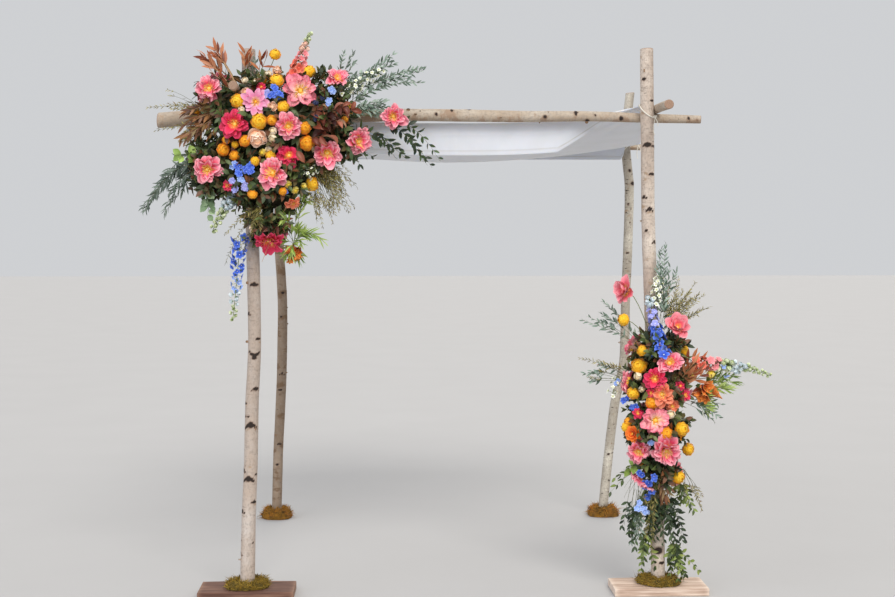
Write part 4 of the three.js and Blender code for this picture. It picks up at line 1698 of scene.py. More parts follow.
@dataclass(frozen=True)
class Foliage:
    """A kind of leafy stem: its leaf, how the leaves stand on it, and their colours.

    leaf_size is a leaf's length and half width, spacing the gap between leaves along the stem, spread their
    angle to it in degrees, curl how many degrees they bend back, fold how far their sides rise, bare the
    share of the stem without leaves, stem its thickness, flat how much the leaves are turned out of the
    spray's plane, and shrink how much smaller they are at its tip.
    """

    leaf: Blade
    leaf_size: tuple[float, float]
    spacing: float
    tones: tuple[str, ...]
    under: str | None = None
    spread: float = 48
    curl: float = 24
    fold: float = 0.25
    bare: float = 0.12
    stem: float = 2.2 * MM
    stem_tone: str = "#5d6238"
    flat: float = 0.45
    shrink: float = 0.35

    def grow(self, pile: Pile, rng: Rng, lines: Trio, sag: float, clear: Mask) -> None:
        """Adds leafy stems to a pile, all at once.

        Formula: a stem is the parabola from its start to its end whose middle stands sag times its length
        above the straight line. Leaves leave it by turns on both sides, in the plane that faces the third of
        the lines' arrays.

        Args:
            pile: The pile that gets them.
            rng: Source of the random differences.
            lines: The stems' starts, their ends, and the unit vectors that the sprays face.
            sag: How high the stems arch, as a share of their length.
            clear: Tells which points lie in front of no bloom.
        """
        starts, ends, face = lines
        n = len(starts)
        span = np.linalg.norm(ends - starts, axis=1)
        control = (starts + ends) / 2 + UP * (2 * sag * span)[:, None]
        control = control + rng.normal(0, 0.04, (n, 3)) * span[:, None]
        steps = np.linspace(0, 1, 6)[None, :, None]
        girth = self.stem / 2 * (1 - 0.6 * steps[..., 0])
        add_tubes(pile, bend_between(starts, control, ends, steps), girth, self.stem_tone)
        k = max(3, int(span.mean() / self.spacing * 2))
        share = self.bare + (1 - self.bare) * (np.arange(k) // 2 + 0.5) / ((k + 1) // 2)
        share = np.clip(share + rng.normal(0, 0.012, (n, k)), 0, 1)[..., None]
        roots = bend_between(starts, control, ends, share)
        tangent = 2 * (1 - share) * (control - starts)[:, None] + 2 * share * (ends - control)[:, None] + 1e-9
        tangent = unit(tangent)
        facing = unit(face[:, None] + rng.normal(0, self.flat, (n, k, 3)))
        side = unit(np.cross(tangent, facing)) * np.where(np.arange(k) % 2, 1, -1)[:, None]
        angle = np.radians(self.spread * (1 - 0.45 * share**3) + rng.normal(0, 9, share.shape))
        outward = unit(np.cos(angle) * tangent + np.sin(angle) * side)
        normal = unit(facing - (facing * outward).sum(-1, keepdims=True) * outward)
        scale = (1 - self.shrink * share[..., 0] ** 2) * rng.uniform(0.75, 1.1, (n, k))
        size = (scale[..., None] * self.leaf_size).reshape(-1, 2)
        frames = [a.reshape(-1, 3) for a in (roots, outward, normal)]
        keep = clear(frames[0] + frames[1] * size[:, :1] * 0.6)
        if not keep.any():
            return
        frames, size = tuple(a[keep] for a in frames), size[keep]
        n = len(size)
        main = palette(self.tones, rng.uniform(0, 1, n)) * rng.uniform(0.82, 1.12, (n, 1))
        under = None if self.under is None else np.array(linear(self.under)) * rng.uniform(0.85, 1.1, (n, 1))
        pose = (90 + rng.normal(0, 8, n), self.curl + rng.normal(0, 12, n), self.fold, 0.02)
        self.leaf.lay(pile, frames, size, pose, (main * 0.8, main, main * 1.15), under)


LANCE = Blade(rows=4, columns=3, base=0.25, widest=0.42, tip=0.05, rounding=0.0, half_thickness=0.3 * MM)
SLIVER = replace(LANCE, rows=3)
BROAD = Blade(rows=6, columns=5, base=0.2, widest=0.48, tip=0.1, rounding=0.06, half_thickness=0.4 * MM)
ROUND = Blade(rows=5, columns=5, base=0.35, widest=0.5, tip=0.45, rounding=0.2)

OLIVE = Foliage(LANCE, (0.040, 0.0060), 0.022, ("#465848", "#74897a", "#a3b4a6"), "#b4c2b2", 42)
JASMINE = Foliage(LANCE, (0.046, 0.0095), 0.034, ("#1d2b1b", "#2f4126", "#4a6038"), "#5a704c", 52)
SUNLIT = replace(
    JASMINE, tones=("#26351a", "#46592a", "#7d8f45", "#a9b565"), leaf_size=(0.040, 0.0095), spacing=0.028
)
FILLER = Foliage(
    LANCE, (0.054, 0.0130), 0.021, ("#1f2c19", "#324225", "#4b5d31", "#67743f", "#5b3a26", "#80502f"),
    "#6c7a54", 50,
)
LIME = Foliage(BROAD, (0.062, 0.0210), 0.060, ("#7d9c48", "#a6c262"), "#aac274", 50)
COPPER = Foliage(
    LANCE, (0.078, 0.0100), 0.056, ("#6e3320", "#a05532", "#c27a50", "#d69a74"), "#d0a27e", 34, 12, 0.3, 0.4,
    4.5 * MM, "#b8946c", 0.2, 0.15,
)
BRANCH = replace(COPPER, bare=0.8, stem=9 * MM, stem_tone="#c9a57c")
RUSSET = replace(
    COPPER, leaf_size=(0.060, 0.0075), spacing=0.034, tones=("#4a2a1a", "#74472a", "#96683c", "#6f6434")
)
MAGNOLIA = Foliage(
    BROAD, (0.084, 0.0200), 0.050, ("#3a1d1a", "#5c2c22", "#86422e", "#a8644c"), "#d2ad86", 50, 66, 0.8, 0.1,
    5 * MM, "#6d5236",
)
WILLOW = Foliage(LANCE, (0.062, 0.0052), 0.018, ("#414f45", "#5f6e62", "#7d8b7d"), "#8d9a8c", 34, 40)
ROUNDED = Foliage(ROUND, (0.056, 0.0250), 0.066, ("#6a8562", "#8aa47c", "#a2b88e"), "#a5b898", 55, 20)
WISP = Foliage(SLIVER, (0.027, 0.0027), 0.012, ("#4e4b2b", "#857b40", "#aaa058", "#6f4f38"), None, 44, 36)
TUFT = Foliage(SLIVER, (0.075, 0.0052), 0.012, ("#6c8a36", "#98b254", "#b3c576"), "#a6b968", 26, 45, bare=0.3)


@dataclass(frozen=True)
class Spray:
    """A group of leafy stems, placed by the photograph.

    x0, y0 and x1, y1 are photo pixels of the middle stem's ends, count how many stems there are, fan how far
    their ends scatter as a share of their length, sag how high they arch, and near and far both ends' Y.
    """

    kind: Foliage
    x0: float
    y0: float
    x1: float
    y1: float
    count: int = 1
    fan: float = 0.25
    sag: float = 0.05
    near: float = -1.0
    far: float = -1.02

    def grow(self, pile: Pile, rng: Rng, viewpoint: Viewpoint, clear: Mask) -> None:
        """Adds the stems to a pile.

        Args:
            pile: The pile that gets them.
            rng: Source of the random differences.
            viewpoint: The photograph's.
            clear: Tells which points may have a leaf.
        """
        spots = np.array([[self.x0, self.y0], [self.x1, self.y1]])
        start, end = viewpoint.at_depth(spots, np.array([self.near, self.far]))
        length = np.linalg.norm(end - start) * (self.count > 1)
        starts = start + rng.normal(0, 0.05, (self.count, 3)) * length
        tips = end + rng.normal(0, self.fan, (self.count, 3)) * length * (1, 0.8, 1)
        face = unit(np.array([0.0, -1.0, 0.35]) + rng.normal(0, 0.35, (self.count, 3)))
        self.kind.grow(pile, rng, (starts, tips, face), self.sag, clear)


@dataclass(frozen=True)
class Spike:
    """A flower spike: florets in a spiral along a stem, from kinds, and larger at its start.

    x0, y0 and x1, y1 are photo pixels of its ends, wide and narrow the widths of its first and last florets,
    sag how high it arches, stand how far the florets stand off its stem, and near and far the Y of both ends.
    """

    kinds: tuple[Species, ...]
    x0: float
    y0: float
    x1: float
    y1: float
    wide: float
    narrow: float
    count: int
    sag: float = 0.0
    stand: float = 0.55
    near: float = -1.03
    far: float = -1.04

    def grow(self, pile: Pile, stems: Pile, rng: Rng, viewpoint: Viewpoint) -> None:
        """Adds the spike to two piles.

        Formula: floret k stands at the golden angle times k about the stem, facing out from it and a little
        along it, at an even share of the stem's length.

        Args:
            pile: The pile that gets the florets.
            stems: The pile that gets the stem.
            rng: Source of the random differences.
            viewpoint: The photograph's.
        """
        spots = np.array([[self.x0, self.y0], [self.x1, self.y1]])
        start, end = viewpoint.at_depth(spots, np.array([self.near, self.far]))
        control = (start + end) / 2 + UP * 2 * self.sag * np.linalg.norm(end - start)
        arc = partial(bend_between, start[None], control[None], end[None])
        add_tubes(stems, arc(np.linspace(0, 1, 16)[None, :, None]), 1.6 * MM, STEM_GREEN)
        share = (np.arange(self.count) + 0.5) / self.count
        t = share[:, None]
        place = arc(t[None])[0]
        tangent = unit(2 * (1 - t) * (control - start) + 2 * t * (end - control))
        radii = (self.wide + (self.narrow - self.wide) * share) / 2
        radii *= rng.uniform(0.85, 1.15, self.count)
        turns = np.arange(self.count) * GOLDEN_ANGLE + rng.normal(0, 0.2, self.count)
        outward = spin(tangent, turns[:, None])[:, 0]
        centres = place + outward * (radii * (0.5 + self.stand))[:, None]
        facing = unit(outward + 0.35 * tangent + rng.normal(0, 0.15, outward.shape))
        which = np.minimum((share * len(self.kinds)).astype(int), len(self.kinds) - 1)
        for i, kind in enumerate(self.kinds):
            kind.grow(pile, rng, tuple(a[which == i] for a in (centres, facing, radii)))
        stalks = np.stack([place - tangent * radii[:, None] * 0.5, (place + centres) / 2, centres], axis=1)
        add_tubes(stems, stalks, 0.8 * MM, STEM_GREEN)


STEM_GREEN = "#7d8c55"
PETALS = Tinted("Fresh petals", roughness=0.62, streak=0.09, width=16, sheen=0.12)
LEAVES = Tinted("Fresh leaves", roughness=0.46, streak=0.22, width=9)
DRY_LEAVES = Tinted("Preserved copper leaves", roughness=0.42, streak=0.3, width=11)
# The core's finish: painted shade inside the flower banks.
PAINTED_SHADE_CORE = Tinted("Moss-wrapped flower foam", roughness=0.95, streak=0.5, width=5)
LEAF_FINISHES = {"foliage_green": LEAVES, "foliage_copper": DRY_LEAVES}


@dataclass
class Cutting:
    """One piece of an arrangement: its slot, the CAD nodes it replaces, and what grows in it.

    blooms lists for each kind where each bloom's middle shows in the photograph, its width in millimetres
    and, where it doesn't face out of the bank, what is added to its facing. spikes and sprays are rows of
    the fields of Spike and Spray, and spare counts the blooms on the sides that the photograph doesn't show.
    """

    slot: str
    nodes: tuple[str, ...] = ()
    blooms: dict[Species, tuple[tuple[float, ...], ...]] = field(default_factory=dict)
    spikes: tuple[tuple[object, ...], ...] = ()
    sprays: tuple[tuple[object, ...], ...] = ()
    spare: dict[Species, int] = field(default_factory=dict)


@dataclass
class Arrangement:
    """Cut flowers wired round a pole, on the outline of their CAD nodes.

    bank is the node that holds most blooms. The others of its group are seats too, and the logs aren't.
    stem_line is the x, y, lowest and highest z of the line where their stems meet, and filler the number of
    short leafy stems. Blooms that miss every seat stand at depth, inset is how far the others are set into
    their seats, core_depth how far the core keeps inside the bank, and core_top its highest z. Spare blooms
    choose among candidates and have spare_radii, first those with stamens. Filler starts filler_root inside.
    """

    prefix: str
    viewpoint: Viewpoint
    bank: str
    stem_line: tuple[float, float, float, float]
    pieces: dict[str, Cutting]
    filler: int
    seed: int
    depth: float = -1.04
    inset: float = 0.030
    core_depth: float = 0.072
    core_top: float = 2.34
    core_least: float = 0.012
    candidates: int = 900
    spare_radii: tuple[float, float] = (0.058, 0.034)
    filler_root: float = 0.065

    def __post_init__(self) -> None:
        """Starts the piles, the record of blooms and the search trees of the nodes."""
        self.rng = np.random.default_rng(self.seed)
        self.piles = {name: Pile() for name in (*self.pieces, "greenery", "stems", "core")}
        self.heads: list[Array] = []
        words = {name: name.split("_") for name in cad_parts}
        group = [name for name, word in words.items() if word[0] == self.bank.split("_")[0]]
        seats = [name for name in group if words[name][1] not in ("front", "rear")]
        self.tree = BVHTree.FromPolygons(*(part.tolist() for part in self._shell(seats)))
        points, faces = self._shell([self.bank])
        self.bank_tree = BVHTree.FromPolygons(points.tolist(), faces.tolist())
        self.corners = points[faces]
        cross = np.cross(self.corners[:, 1] - self.corners[:, 0], self.corners[:, 2] - self.corners[:, 0])
        self.normals = unit(cross)
        rays = zip(self.corners.mean(1) + self.normals * 4 * MM, self.normals)
        outer = [self.bank_tree.ray_cast(Vector(p), Vector(n), 0.16)[0] is None for p, n in rays]
        self.area = np.linalg.norm(cross, axis=1) * outer

    def _shell(self, names: list[str]) -> tuple[Array, Array]:
        """Merges some CAD nodes.

        Args:
            names: The nodes.

        Returns:
            Their points, and triangles that number them.
        """
        points, faces, count = [], [], 0
        for name in names:
            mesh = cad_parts[name].data
            mesh.calc_loop_triangles()
            corners = np.empty(len(mesh.loop_triangles) * 3, np.int32)
            mesh.loop_triangles.foreach_get("vertices", corners)
            merged, place = np.unique(np.round(node_points(name), 5), axis=0, return_inverse=True)
            points.append(merged)
            faces.append(place.ravel()[corners].reshape(-1, 3) + count)
            count += len(merged)
        return np.concatenate(points), np.concatenate(faces)

    def _scatter(self, count: int) -> tuple[Array, Array]:
        """Picks random points on the bank's outer faces, evenly by area.

        The walls of the channels where the logs lie are left out: a ray along their normals meets the bank
        again.

        Args:
            count: How many.

        Returns:
            The points, and the normals there.
        """
        pick = self.rng.choice(len(self.area), count, p=self.area / self.area.sum())
        u, v = self.rng.uniform(0, 1, (2, count, 1))
        u, v = np.where(u + v > 1, 1 - u, u), np.where(u + v > 1, 1 - v, v)
        a, b, c = self.corners[pick].swapaxes(0, 1)
        return a + u * (b - a) + v * (c - a), self.normals[pick]

    def _seat(self, spots: Array) -> tuple[Array, Array]:
        """Finds where photo pixels meet the nodes.

        Args:
            spots: Pixels of shape (n, 2).

        Returns:
            The places, and the way out of the nodes there.
        """
        rays = self.viewpoint.rays(spots)
        centres = self.viewpoint.at_depth(spots, self.depth)
        normals = -rays
        for i, ray in enumerate(rays):
            place, normal, _, _ = self.tree.ray_cast(Vector(self.viewpoint.place), Vector(ray))
            if place is not None:
                centres[i] = np.array(place) + ray * self.inset
                normals[i] = normal
        return centres, unit(0.55 * normals - 0.75 * rays)

    def _clear(self, points: Array) -> Array:
        """Finds the points that don't lie in front of a bloom's face.

        Args:
            points: Points of shape (n, 3).

        Returns:
            True for each of them.
        """
        heads = np.concatenate(self.heads)
        away = points[:, None] - heads[None, :, :3]
        ahead = (away * heads[:, 3:6]).sum(-1)
        aside = np.linalg.norm(away - ahead[..., None] * heads[:, 3:6], axis=-1)
        radius = heads[:, 6]
        return ~((aside < 1.02 * radius) & (ahead > -0.15 * radius) & (ahead < radius + 0.08)).any(1)

    def _plant(self, piece: str, kind: Species, blooms: Trio) -> None:
        """Grows blooms, each with a stem that curves back to the stem line.

        Args:
            piece: The piece that gets them.
            kind: Their species.
            blooms: Their centres, facings and radii.
        """
        centres, facing, radii = blooms
        kind.grow(self.piles[piece], self.rng, blooms)
        self.heads.append(np.concatenate([centres, facing, radii[:, None]], axis=1))
        x, y, low, high = self.stem_line
        level = np.clip(centres[:, 2:], low, high)
        target = np.concatenate([np.full_like(level, x), np.full_like(level, y), level], axis=1)
        inward = centres + (target - centres) * 0.85
        t = np.linspace(0, 1, 7)[None, :, None]
        paths = bend_between(centres, centres - facing * 0.06, inward, t)
        add_tubes(self.piles["stems"], paths, 1.7 * MM, STEM_GREEN)

    def _plant_spares(self) -> None:
        """Sets blooms on the sides and back, which the photograph doesn't show, each far from the others."""
        points, normals = self._scatter(self.candidates)
        hidden = (normals[:, 1] > 0.05) & (normals[:, 2] > -0.75)
        points, normals = points[hidden], normals[hidden]
        chosen = [0]
        nearest = np.linalg.norm(points - points[0], axis=1)
        while len(chosen) < sum(sum(cutting.spare.values()) for cutting in self.pieces.values()):
            chosen.append(int(nearest.argmax()))
            nearest = np.minimum(nearest, np.linalg.norm(points - points[chosen[-1]], axis=1))
        order = iter(self.rng.permutation(chosen))
        for piece, cutting in self.pieces.items():
            for kind, count in cutting.spare.items():
                mine = [next(order) for _ in range(count)]
                radius = self.spare_radii[kind.heart is not Heart.STAMENS]
                radii = radius * self.rng.uniform(0.85, 1.1, count)
                facing = unit(normals[mine] + self.rng.normal(0, 0.2, (count, 3)))
                self._plant(piece, kind, (points[mine] - normals[mine] * self.inset, facing, radii))

    def _fill(self) -> None:
        """Covers the bank with short leafy stems that come out all round, and its core with dark leaves,
        whose darkness is painted shade.
        """
        points, normals = self._scatter(self.filler)
        lengths = self.rng.uniform(0.05, 0.085, (self.filler, 1))
        out = unit(normals + self.rng.normal(0, 0.45, normals.shape))
        starts = points - normals * self.filler_root
        lines = (starts, starts + out * lengths, unit(normals + 0.3 * UP))
        FILLER.grow(self.piles["greenery"], self.rng, lines, 0.08, self._clear)
        points, normals = self._scatter(self.filler * 5)
        low = points[:, 2] < self.core_top + 0.05
        points, normals, count = points[low], normals[low], low.sum()
        outward = unit(np.cross(normals, self.rng.normal(0, 1, normals.shape)) + 0.35 * normals)
        axis = unit(normals - (normals * outward).sum(-1, keepdims=True) * outward)
        size = self.rng.uniform(0.8, 1.2, (count, 1)) * (0.060, 0.014)
        # Near-black leaf tones: painted shade deep in the bank.
        tones = palette(("#18210f", "#26331b", "#3a4726", "#4a3320"), self.rng.uniform(0, 1, count))
        frames = (points - normals * (self.core_depth - 0.012) - outward * size[:, :1] / 2, outward, axis)
        SLIVER.lay(self.piles["greenery"], frames, size, (90, 25, 0.3, 0.0), (tones, tones, tones * 1.2))

    def _add_core(self) -> None:
        """Makes the dark core, painted shade that fills the depths of the bank.

        Formula: its reach about the stem line, at each angle and height, is that of the bank's outer face,
        which a ray from outside finds, less core_depth, and at least core_least. Noise lumps it, and both
        ends close to a point.
        """
        low, high = (corner[2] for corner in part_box(self.bank))
        middle = np.array([*self.stem_line[:2], 0.0])
        level = np.linspace(low + self.core_depth / 2, min(high, self.core_top), 30)
        angle = full_turn(44)
        way = np.stack([np.cos(angle), np.sin(angle), 0 * angle], axis=-1)
        reach = np.full((len(level), len(angle)), self.core_least)
        for i, j in np.ndindex(reach.shape):
            start = middle + UP * level[i] + way[j]
            hit = self.bank_tree.ray_cast(Vector(start), Vector(-way[j]), 0.97)[3]
            reach[i, j] = max(self.core_least, 1 - (hit or 1.0) - self.core_depth)
        reach = np.minimum.reduce([np.roll(reach, (i - 1, j - 1), (0, 1)) for i, j in np.ndindex(3, 3)])
        rings = middle + way * reach[..., None] + UP * level[:, None, None]
        lumps = lattice_noise(rings, 0.04, self.seed + 1)[..., None]
        rings += way * 0.02 * lumps * smooth(self.core_least, 0.03, reach)[..., None]
        points = with_poles(middle + UP * level[0], rings[None], middle + UP * level[-1])[0]
        picks = 0.5 + 0.5 * lattice_noise(points, 0.03, self.seed)
        # Near-black greens and browns: painted shade deep in the bank.
        shade = palette(("#141a0e", "#37391d", "#2a1c12"), picks)
        self.piles["core"].add(points, capped_faces(*reach.shape), tint=shade, uv=points[:, :2] * 20)

    def build(self) -> None:
        """Builds the arrangement's pieces: blooms, spikes, sprays, greenery, stems and core."""
        for piece, cutting in self.pieces.items():
            for kind, spots in cutting.blooms.items():
                table = np.array([(*spot, 0, 0, 0)[:6] for spot in spots], float).repeat(kind.cluster, axis=0)
                if kind.cluster > 1:
                    table[:, 2] *= 0.72
                    table[:, :2] += self.rng.uniform(-0.07, 0.07, (len(table), 2)) * table[:, 2:3]
                centres, facing = self._seat(table[:, :2])
                facing = unit(facing + table[:, 3:] + self.rng.normal(0, 0.12, facing.shape))
                self._plant(piece, kind, (centres, facing, table[:, 2] * MM / 2))
        self._plant_spares()
        for piece, cutting in self.pieces.items():
            for row in cutting.spikes:
                Spike(*row).grow(self.piles[piece], self.piles["stems"], self.rng, self.viewpoint)
            for row in cutting.sprays:
                Spray(*row).grow(self.piles[piece], self.rng, self.viewpoint, self._clear)
        self._fill()
        self._add_core()
        for piece, pile in self.piles.items():
            cutting = self.pieces.get(piece, Cutting("foliage_green"))
            finish = PAINTED_SHADE_CORE if piece == "core" else LEAF_FINISHES.get(cutting.slot, PETALS)
            pile.build(self.prefix + "_" + piece, [finish.material()], cutting.slot, *cutting.nodes)


SNAPDRAGON = (CORAL_LIP, CORAL_LIP, PINK_LIP, BLUSH_BUD, GREEN_BUD)
BLUE_SPIKE = (BLUE_FLORET, BLUE_FLORET, BLUE_FLORET, SKY_FLORET, PALE_BLUE_BUD, GREEN_BUD)
LILAC_SPIKE = (BLUE_FLORET, BLUE_FLORET, BLUE_FLORET, LILAC_FLORET, LILAC_FLORET, PALE_BLUE_BUD)
LIP_STRAND = (CORAL_LIP, PINK_LIP, GREEN_BUD, PALE_BLUE_BUD, GREEN_BUD, GREEN_BUD)
LOW = (0.0, 0.2, -1.3)  # makes a bloom look down
HIGH = (0.0, 0.3, 0.8)  # makes a bloom look up
CORNER_FLOWERS = {
    "peonies": Cutting("petals_pink", ("corner_flower_bank",), {
        CORAL_PEONY: (
            (209.6, 88.4, 116, -0.3, 0, 0.1), (207.6, 169, 124), (288, 126, 120), (327, 152.5, 136),
            (274, 173, 134), (336.5, 80, 102, 0.2, 0, 0.3), (357.6, 141.3, 124, 0.3, 0, -0.2),
            (393, 116, 112, 0.3, 0, -0.2),
        ),
        HOT_PEONY: (
            (235, 124, 124), (289, 155.7, 104), (268.6, 238.4, 132, *LOW), (228, 185, 52, -0.4, 0, -0.2),
            (261, 87, 42),
        ),
        PALE_PEONY: ((300, 91, 150),),
        LILAC_BLOOM: ((255.5, 101.6, 116),),
        SALMON_PEONY: ((292, 201.5, 78, *LOW),),
    }, spare={CORAL_PEONY: 5, PALE_PEONY: 2}),
    "ranunculus": Cutting("petals_orange", (), {
        YELLOW_BALL: (
            (275, 54.6, 58, 0, 0, 0.9), (308.6, 72.5, 72, *HIGH), (276.5, 81, 72, 0, 0, 0.5),
            (238, 101, 72), (258.8, 121.3, 80), (270.4, 155.7, 50), (255, 161.4, 48), (283, 107, 60),
            (311.6, 184.3, 70, 0.2, 0, 0.3), (235, 144.5, 36),
        ),
        ORANGE_BALL: (
            (272, 120, 54), (223, 149.6, 66), (234.5, 155.7, 54), (245, 140.8, 58), (307, 143.5, 76),
            (304.5, 128, 64, 0.4, 0, 0), (282.7, 191.4, 42), (252.5, 194, 52, *LOW), (196.7, 112.3, 44),
            (345, 119, 34), (226, 140, 40),
        ),
        LEMON_BUD: ((295, 190, 38), (288, 184, 36), (304, 186, 32, -0.5, 0, 0), (262.5, 152.5, 36)),
        CREAM_BUD: (
            (245, 80.6, 36, *HIGH), (256.4, 82, 36, *HIGH), (241.5, 109.6, 34), (268, 74, 38, *HIGH),
            (268.8, 149.6, 38), (273, 131, 44, -0.2, 0, 0.2), (272.5, 138, 42),
        ),
    }, spare={YELLOW_BALL: 6, ORANGE_BALL: 4}),
    "roses": Cutting("petals_coral", (), {
        PEACH_ROSE: ((257, 138, 84), (272.5, 106.5, 44), (277, 70.6, 42), (246, 92.5, 46)),
    }, spare={PEACH_ROSE: 3}),
    "blue_flowers": Cutting("petals_blue", (), {
        BLUE_FLORET: (
            (274, 89, 44), (279.6, 96, 46), (271, 95, 40), (238, 167, 42), (251, 166, 46), (240, 174, 48),
            (283.5, 192.5, 42), (246, 170, 38), (251, 172, 36),
        ),
        LILAC_FLORET: ((265.5, 93, 54), (261, 97, 42), (233.5, 181, 44), (245, 186, 44), (236, 189, 40)),
        SKY_FLORET: ((332, 91, 46), (330, 102.5, 42), (233, 165, 42), (242, 179, 40)),
        BERRY: ((315, 103, 32), (316, 118, 34), (318.5, 110, 28), (322, 98, 26)),
    }),
    "snapdragon_spike": Cutting("petals_coral", ("corner_snapdragon",), spikes=(
        (SNAPDRAGON, 293, 84, 310, 32, 0.062, 0.018, 28, 0.0, 0.3),
    )),
    "delphinium": Cutting("petals_blue", ("corner_delphinium",), spikes=(
        (BLUE_SPIKE, 241, 236, 233, 321, 0.046, 0.016, 40, 0.02, 0.85, -1.03, -1.06),
        ((PALE_BLUE_BUD, GREEN_BUD), 237, 194, 212, 232, 0.034, 0.018, 30, 0.08, 0.8),
    )),
    "orange_bells": Cutting("petals_orange", ("corner_bell_cluster",), spikes=(
        ((ORANGE_BELL,), 299, 248, 288, 258, 0.056, 0.050, 6, 0, 0.1, -1.0, -1.0),
    )),
    "white_blossom": Cutting("petals_coral", spikes=(
        ((WHITE_FLORET,), 350, 92, 384, 70, 0.026, 0.018, 26, 0.08, 1.6),
        ((WHITE_FLORET,), 338, 102, 352, 82, 0.026, 0.020, 12, 0.0, 1.8),
        ((WHITE_FLORET,), 306, 176, 316, 168, 0.020, 0.014, 12, 0.0, 2.0, -1.1, -1.12),
    )),
    "copper_leaves": Cutting("foliage_copper", ("corner_copper_spray", "corner_left_foliage"), sprays=(
        (COPPER, 238, 86, 213, 53, 2, 0.10), (COPPER, 236, 84, 205, 60, 2, 0.10),
        (COPPER, 247, 84, 249, 54, 2, 0.10, 0.05, -1.0, -1.05),
        (COPPER, 256, 86, 264, 60, 2, 0.12, 0.05, -1.0, -1.05),
        (COPPER, 238, 92, 214, 78, 2, 0.10, 0.05, -1.02, -1.10),
        (BRANCH, 239, 92, 221, 59, 1, 0.25, 0.05, -1.05, -1.07),
        (BRANCH, 231, 88, 213, 66, 1, 0.25, 0.05, -1.04, -1.06),
        (RUSSET, 230, 108, 190, 112, 6, 0.14, 0.05, -1.0, -1.06),
        (RUSSET, 228, 112, 196, 134, 6, 0.18, 0.05, -1.0, -1.06), (RUSSET, 222, 118, 188, 146, 3, 0.14),
        (COPPER, 296, 190, 262, 262, 1, 0.25, 0.05, -1.06, -1.08),
    )),
    "magnolia_leaves": Cutting("foliage_copper", sprays=(
        (MAGNOLIA, 314, 124, 345, 106, 2, 0.18, 0.05, -1.08, -1.17),
        (MAGNOLIA, 312, 132, 350, 128, 2, 0.2, 0.05, -1.08, -1.17),
        (MAGNOLIA, 306, 118, 324, 104, 1, 0.25, 0.05, -1.1, -1.18),
        (MAGNOLIA, 300, 138, 296, 156, 1, 0.25, 0.05, -1.14, -1.22),
        (MAGNOLIA, 306, 140, 332, 137, 1, 0.25, 0.05, -1.1, -1.19),
    )),
    "olive_sprigs": Cutting("foliage_green", ("corner_right_spray",), sprays=(
        (OLIVE, 338, 104, 424, 75, 5, 0.10, 0.10), (OLIVE, 335, 98, 392, 66, 5, 0.16, 0.08),
        (OLIVE, 335, 100, 350, 64, 3, 0.20), (OLIVE, 345, 112, 384, 108, 8, 0.20),
        (OLIVE, 258, 84, 262, 56, 2, 0.2),
    )),
    "jasmine_vine": Cutting("foliage_green", ("corner_trailing_vine",), sprays=(
        (JASMINE, 388, 118, 433, 158, 3, 0.08, 0.14, -1.03, -0.99),
        (JASMINE, 362, 130, 396, 152, 3, 0.14, 0.08, -1.08, -1.02),
        (JASMINE, 350, 146, 372, 158, 3, 0.2, 0.05, -1.1, -1.05),
    )),
    "willow_stems": Cutting("foliage_green", ("corner_willow_branch",), sprays=(
        (WILLOW, 198, 156, 151, 208, 4, 0.09, 0.14), (WILLOW, 200, 168, 170, 208, 3, 0.12, 0.12),
    )),
    "round_leaves": Cutting("foliage_green", sprays=(
        (ROUNDED, 207, 184, 205, 220, 2, 0.16, 0.05),
        (LIME, 205, 158, 178, 157, 2, 0.12, 0.05, -1.04, -1.08), (ROUNDED, 226, 98, 204, 104, 2, 0.4),
    )),
    "wispy_grass": Cutting("foliage_green", ("corner_dry_tuft",), sprays=(
        (WISP, 304, 162, 341, 202, 26, 0.15, 0.16), (WISP, 304, 164, 322, 211, 18, 0.15, 0.12),
        (WISP, 308, 160, 342, 182, 20, 0.15, 0.18), (WISP, 205, 112, 166, 104, 6, 0.25, 0.06),
        (WISP, 205, 124, 168, 138, 9, 0.25, 0.04), (WISP, 258, 205, 252, 236, 14, 0.3, 0.02, -1.06, -1.08),
        (TUFT, 294, 245, 295, 239, 14, 1.7, 0.25),
    )),
}
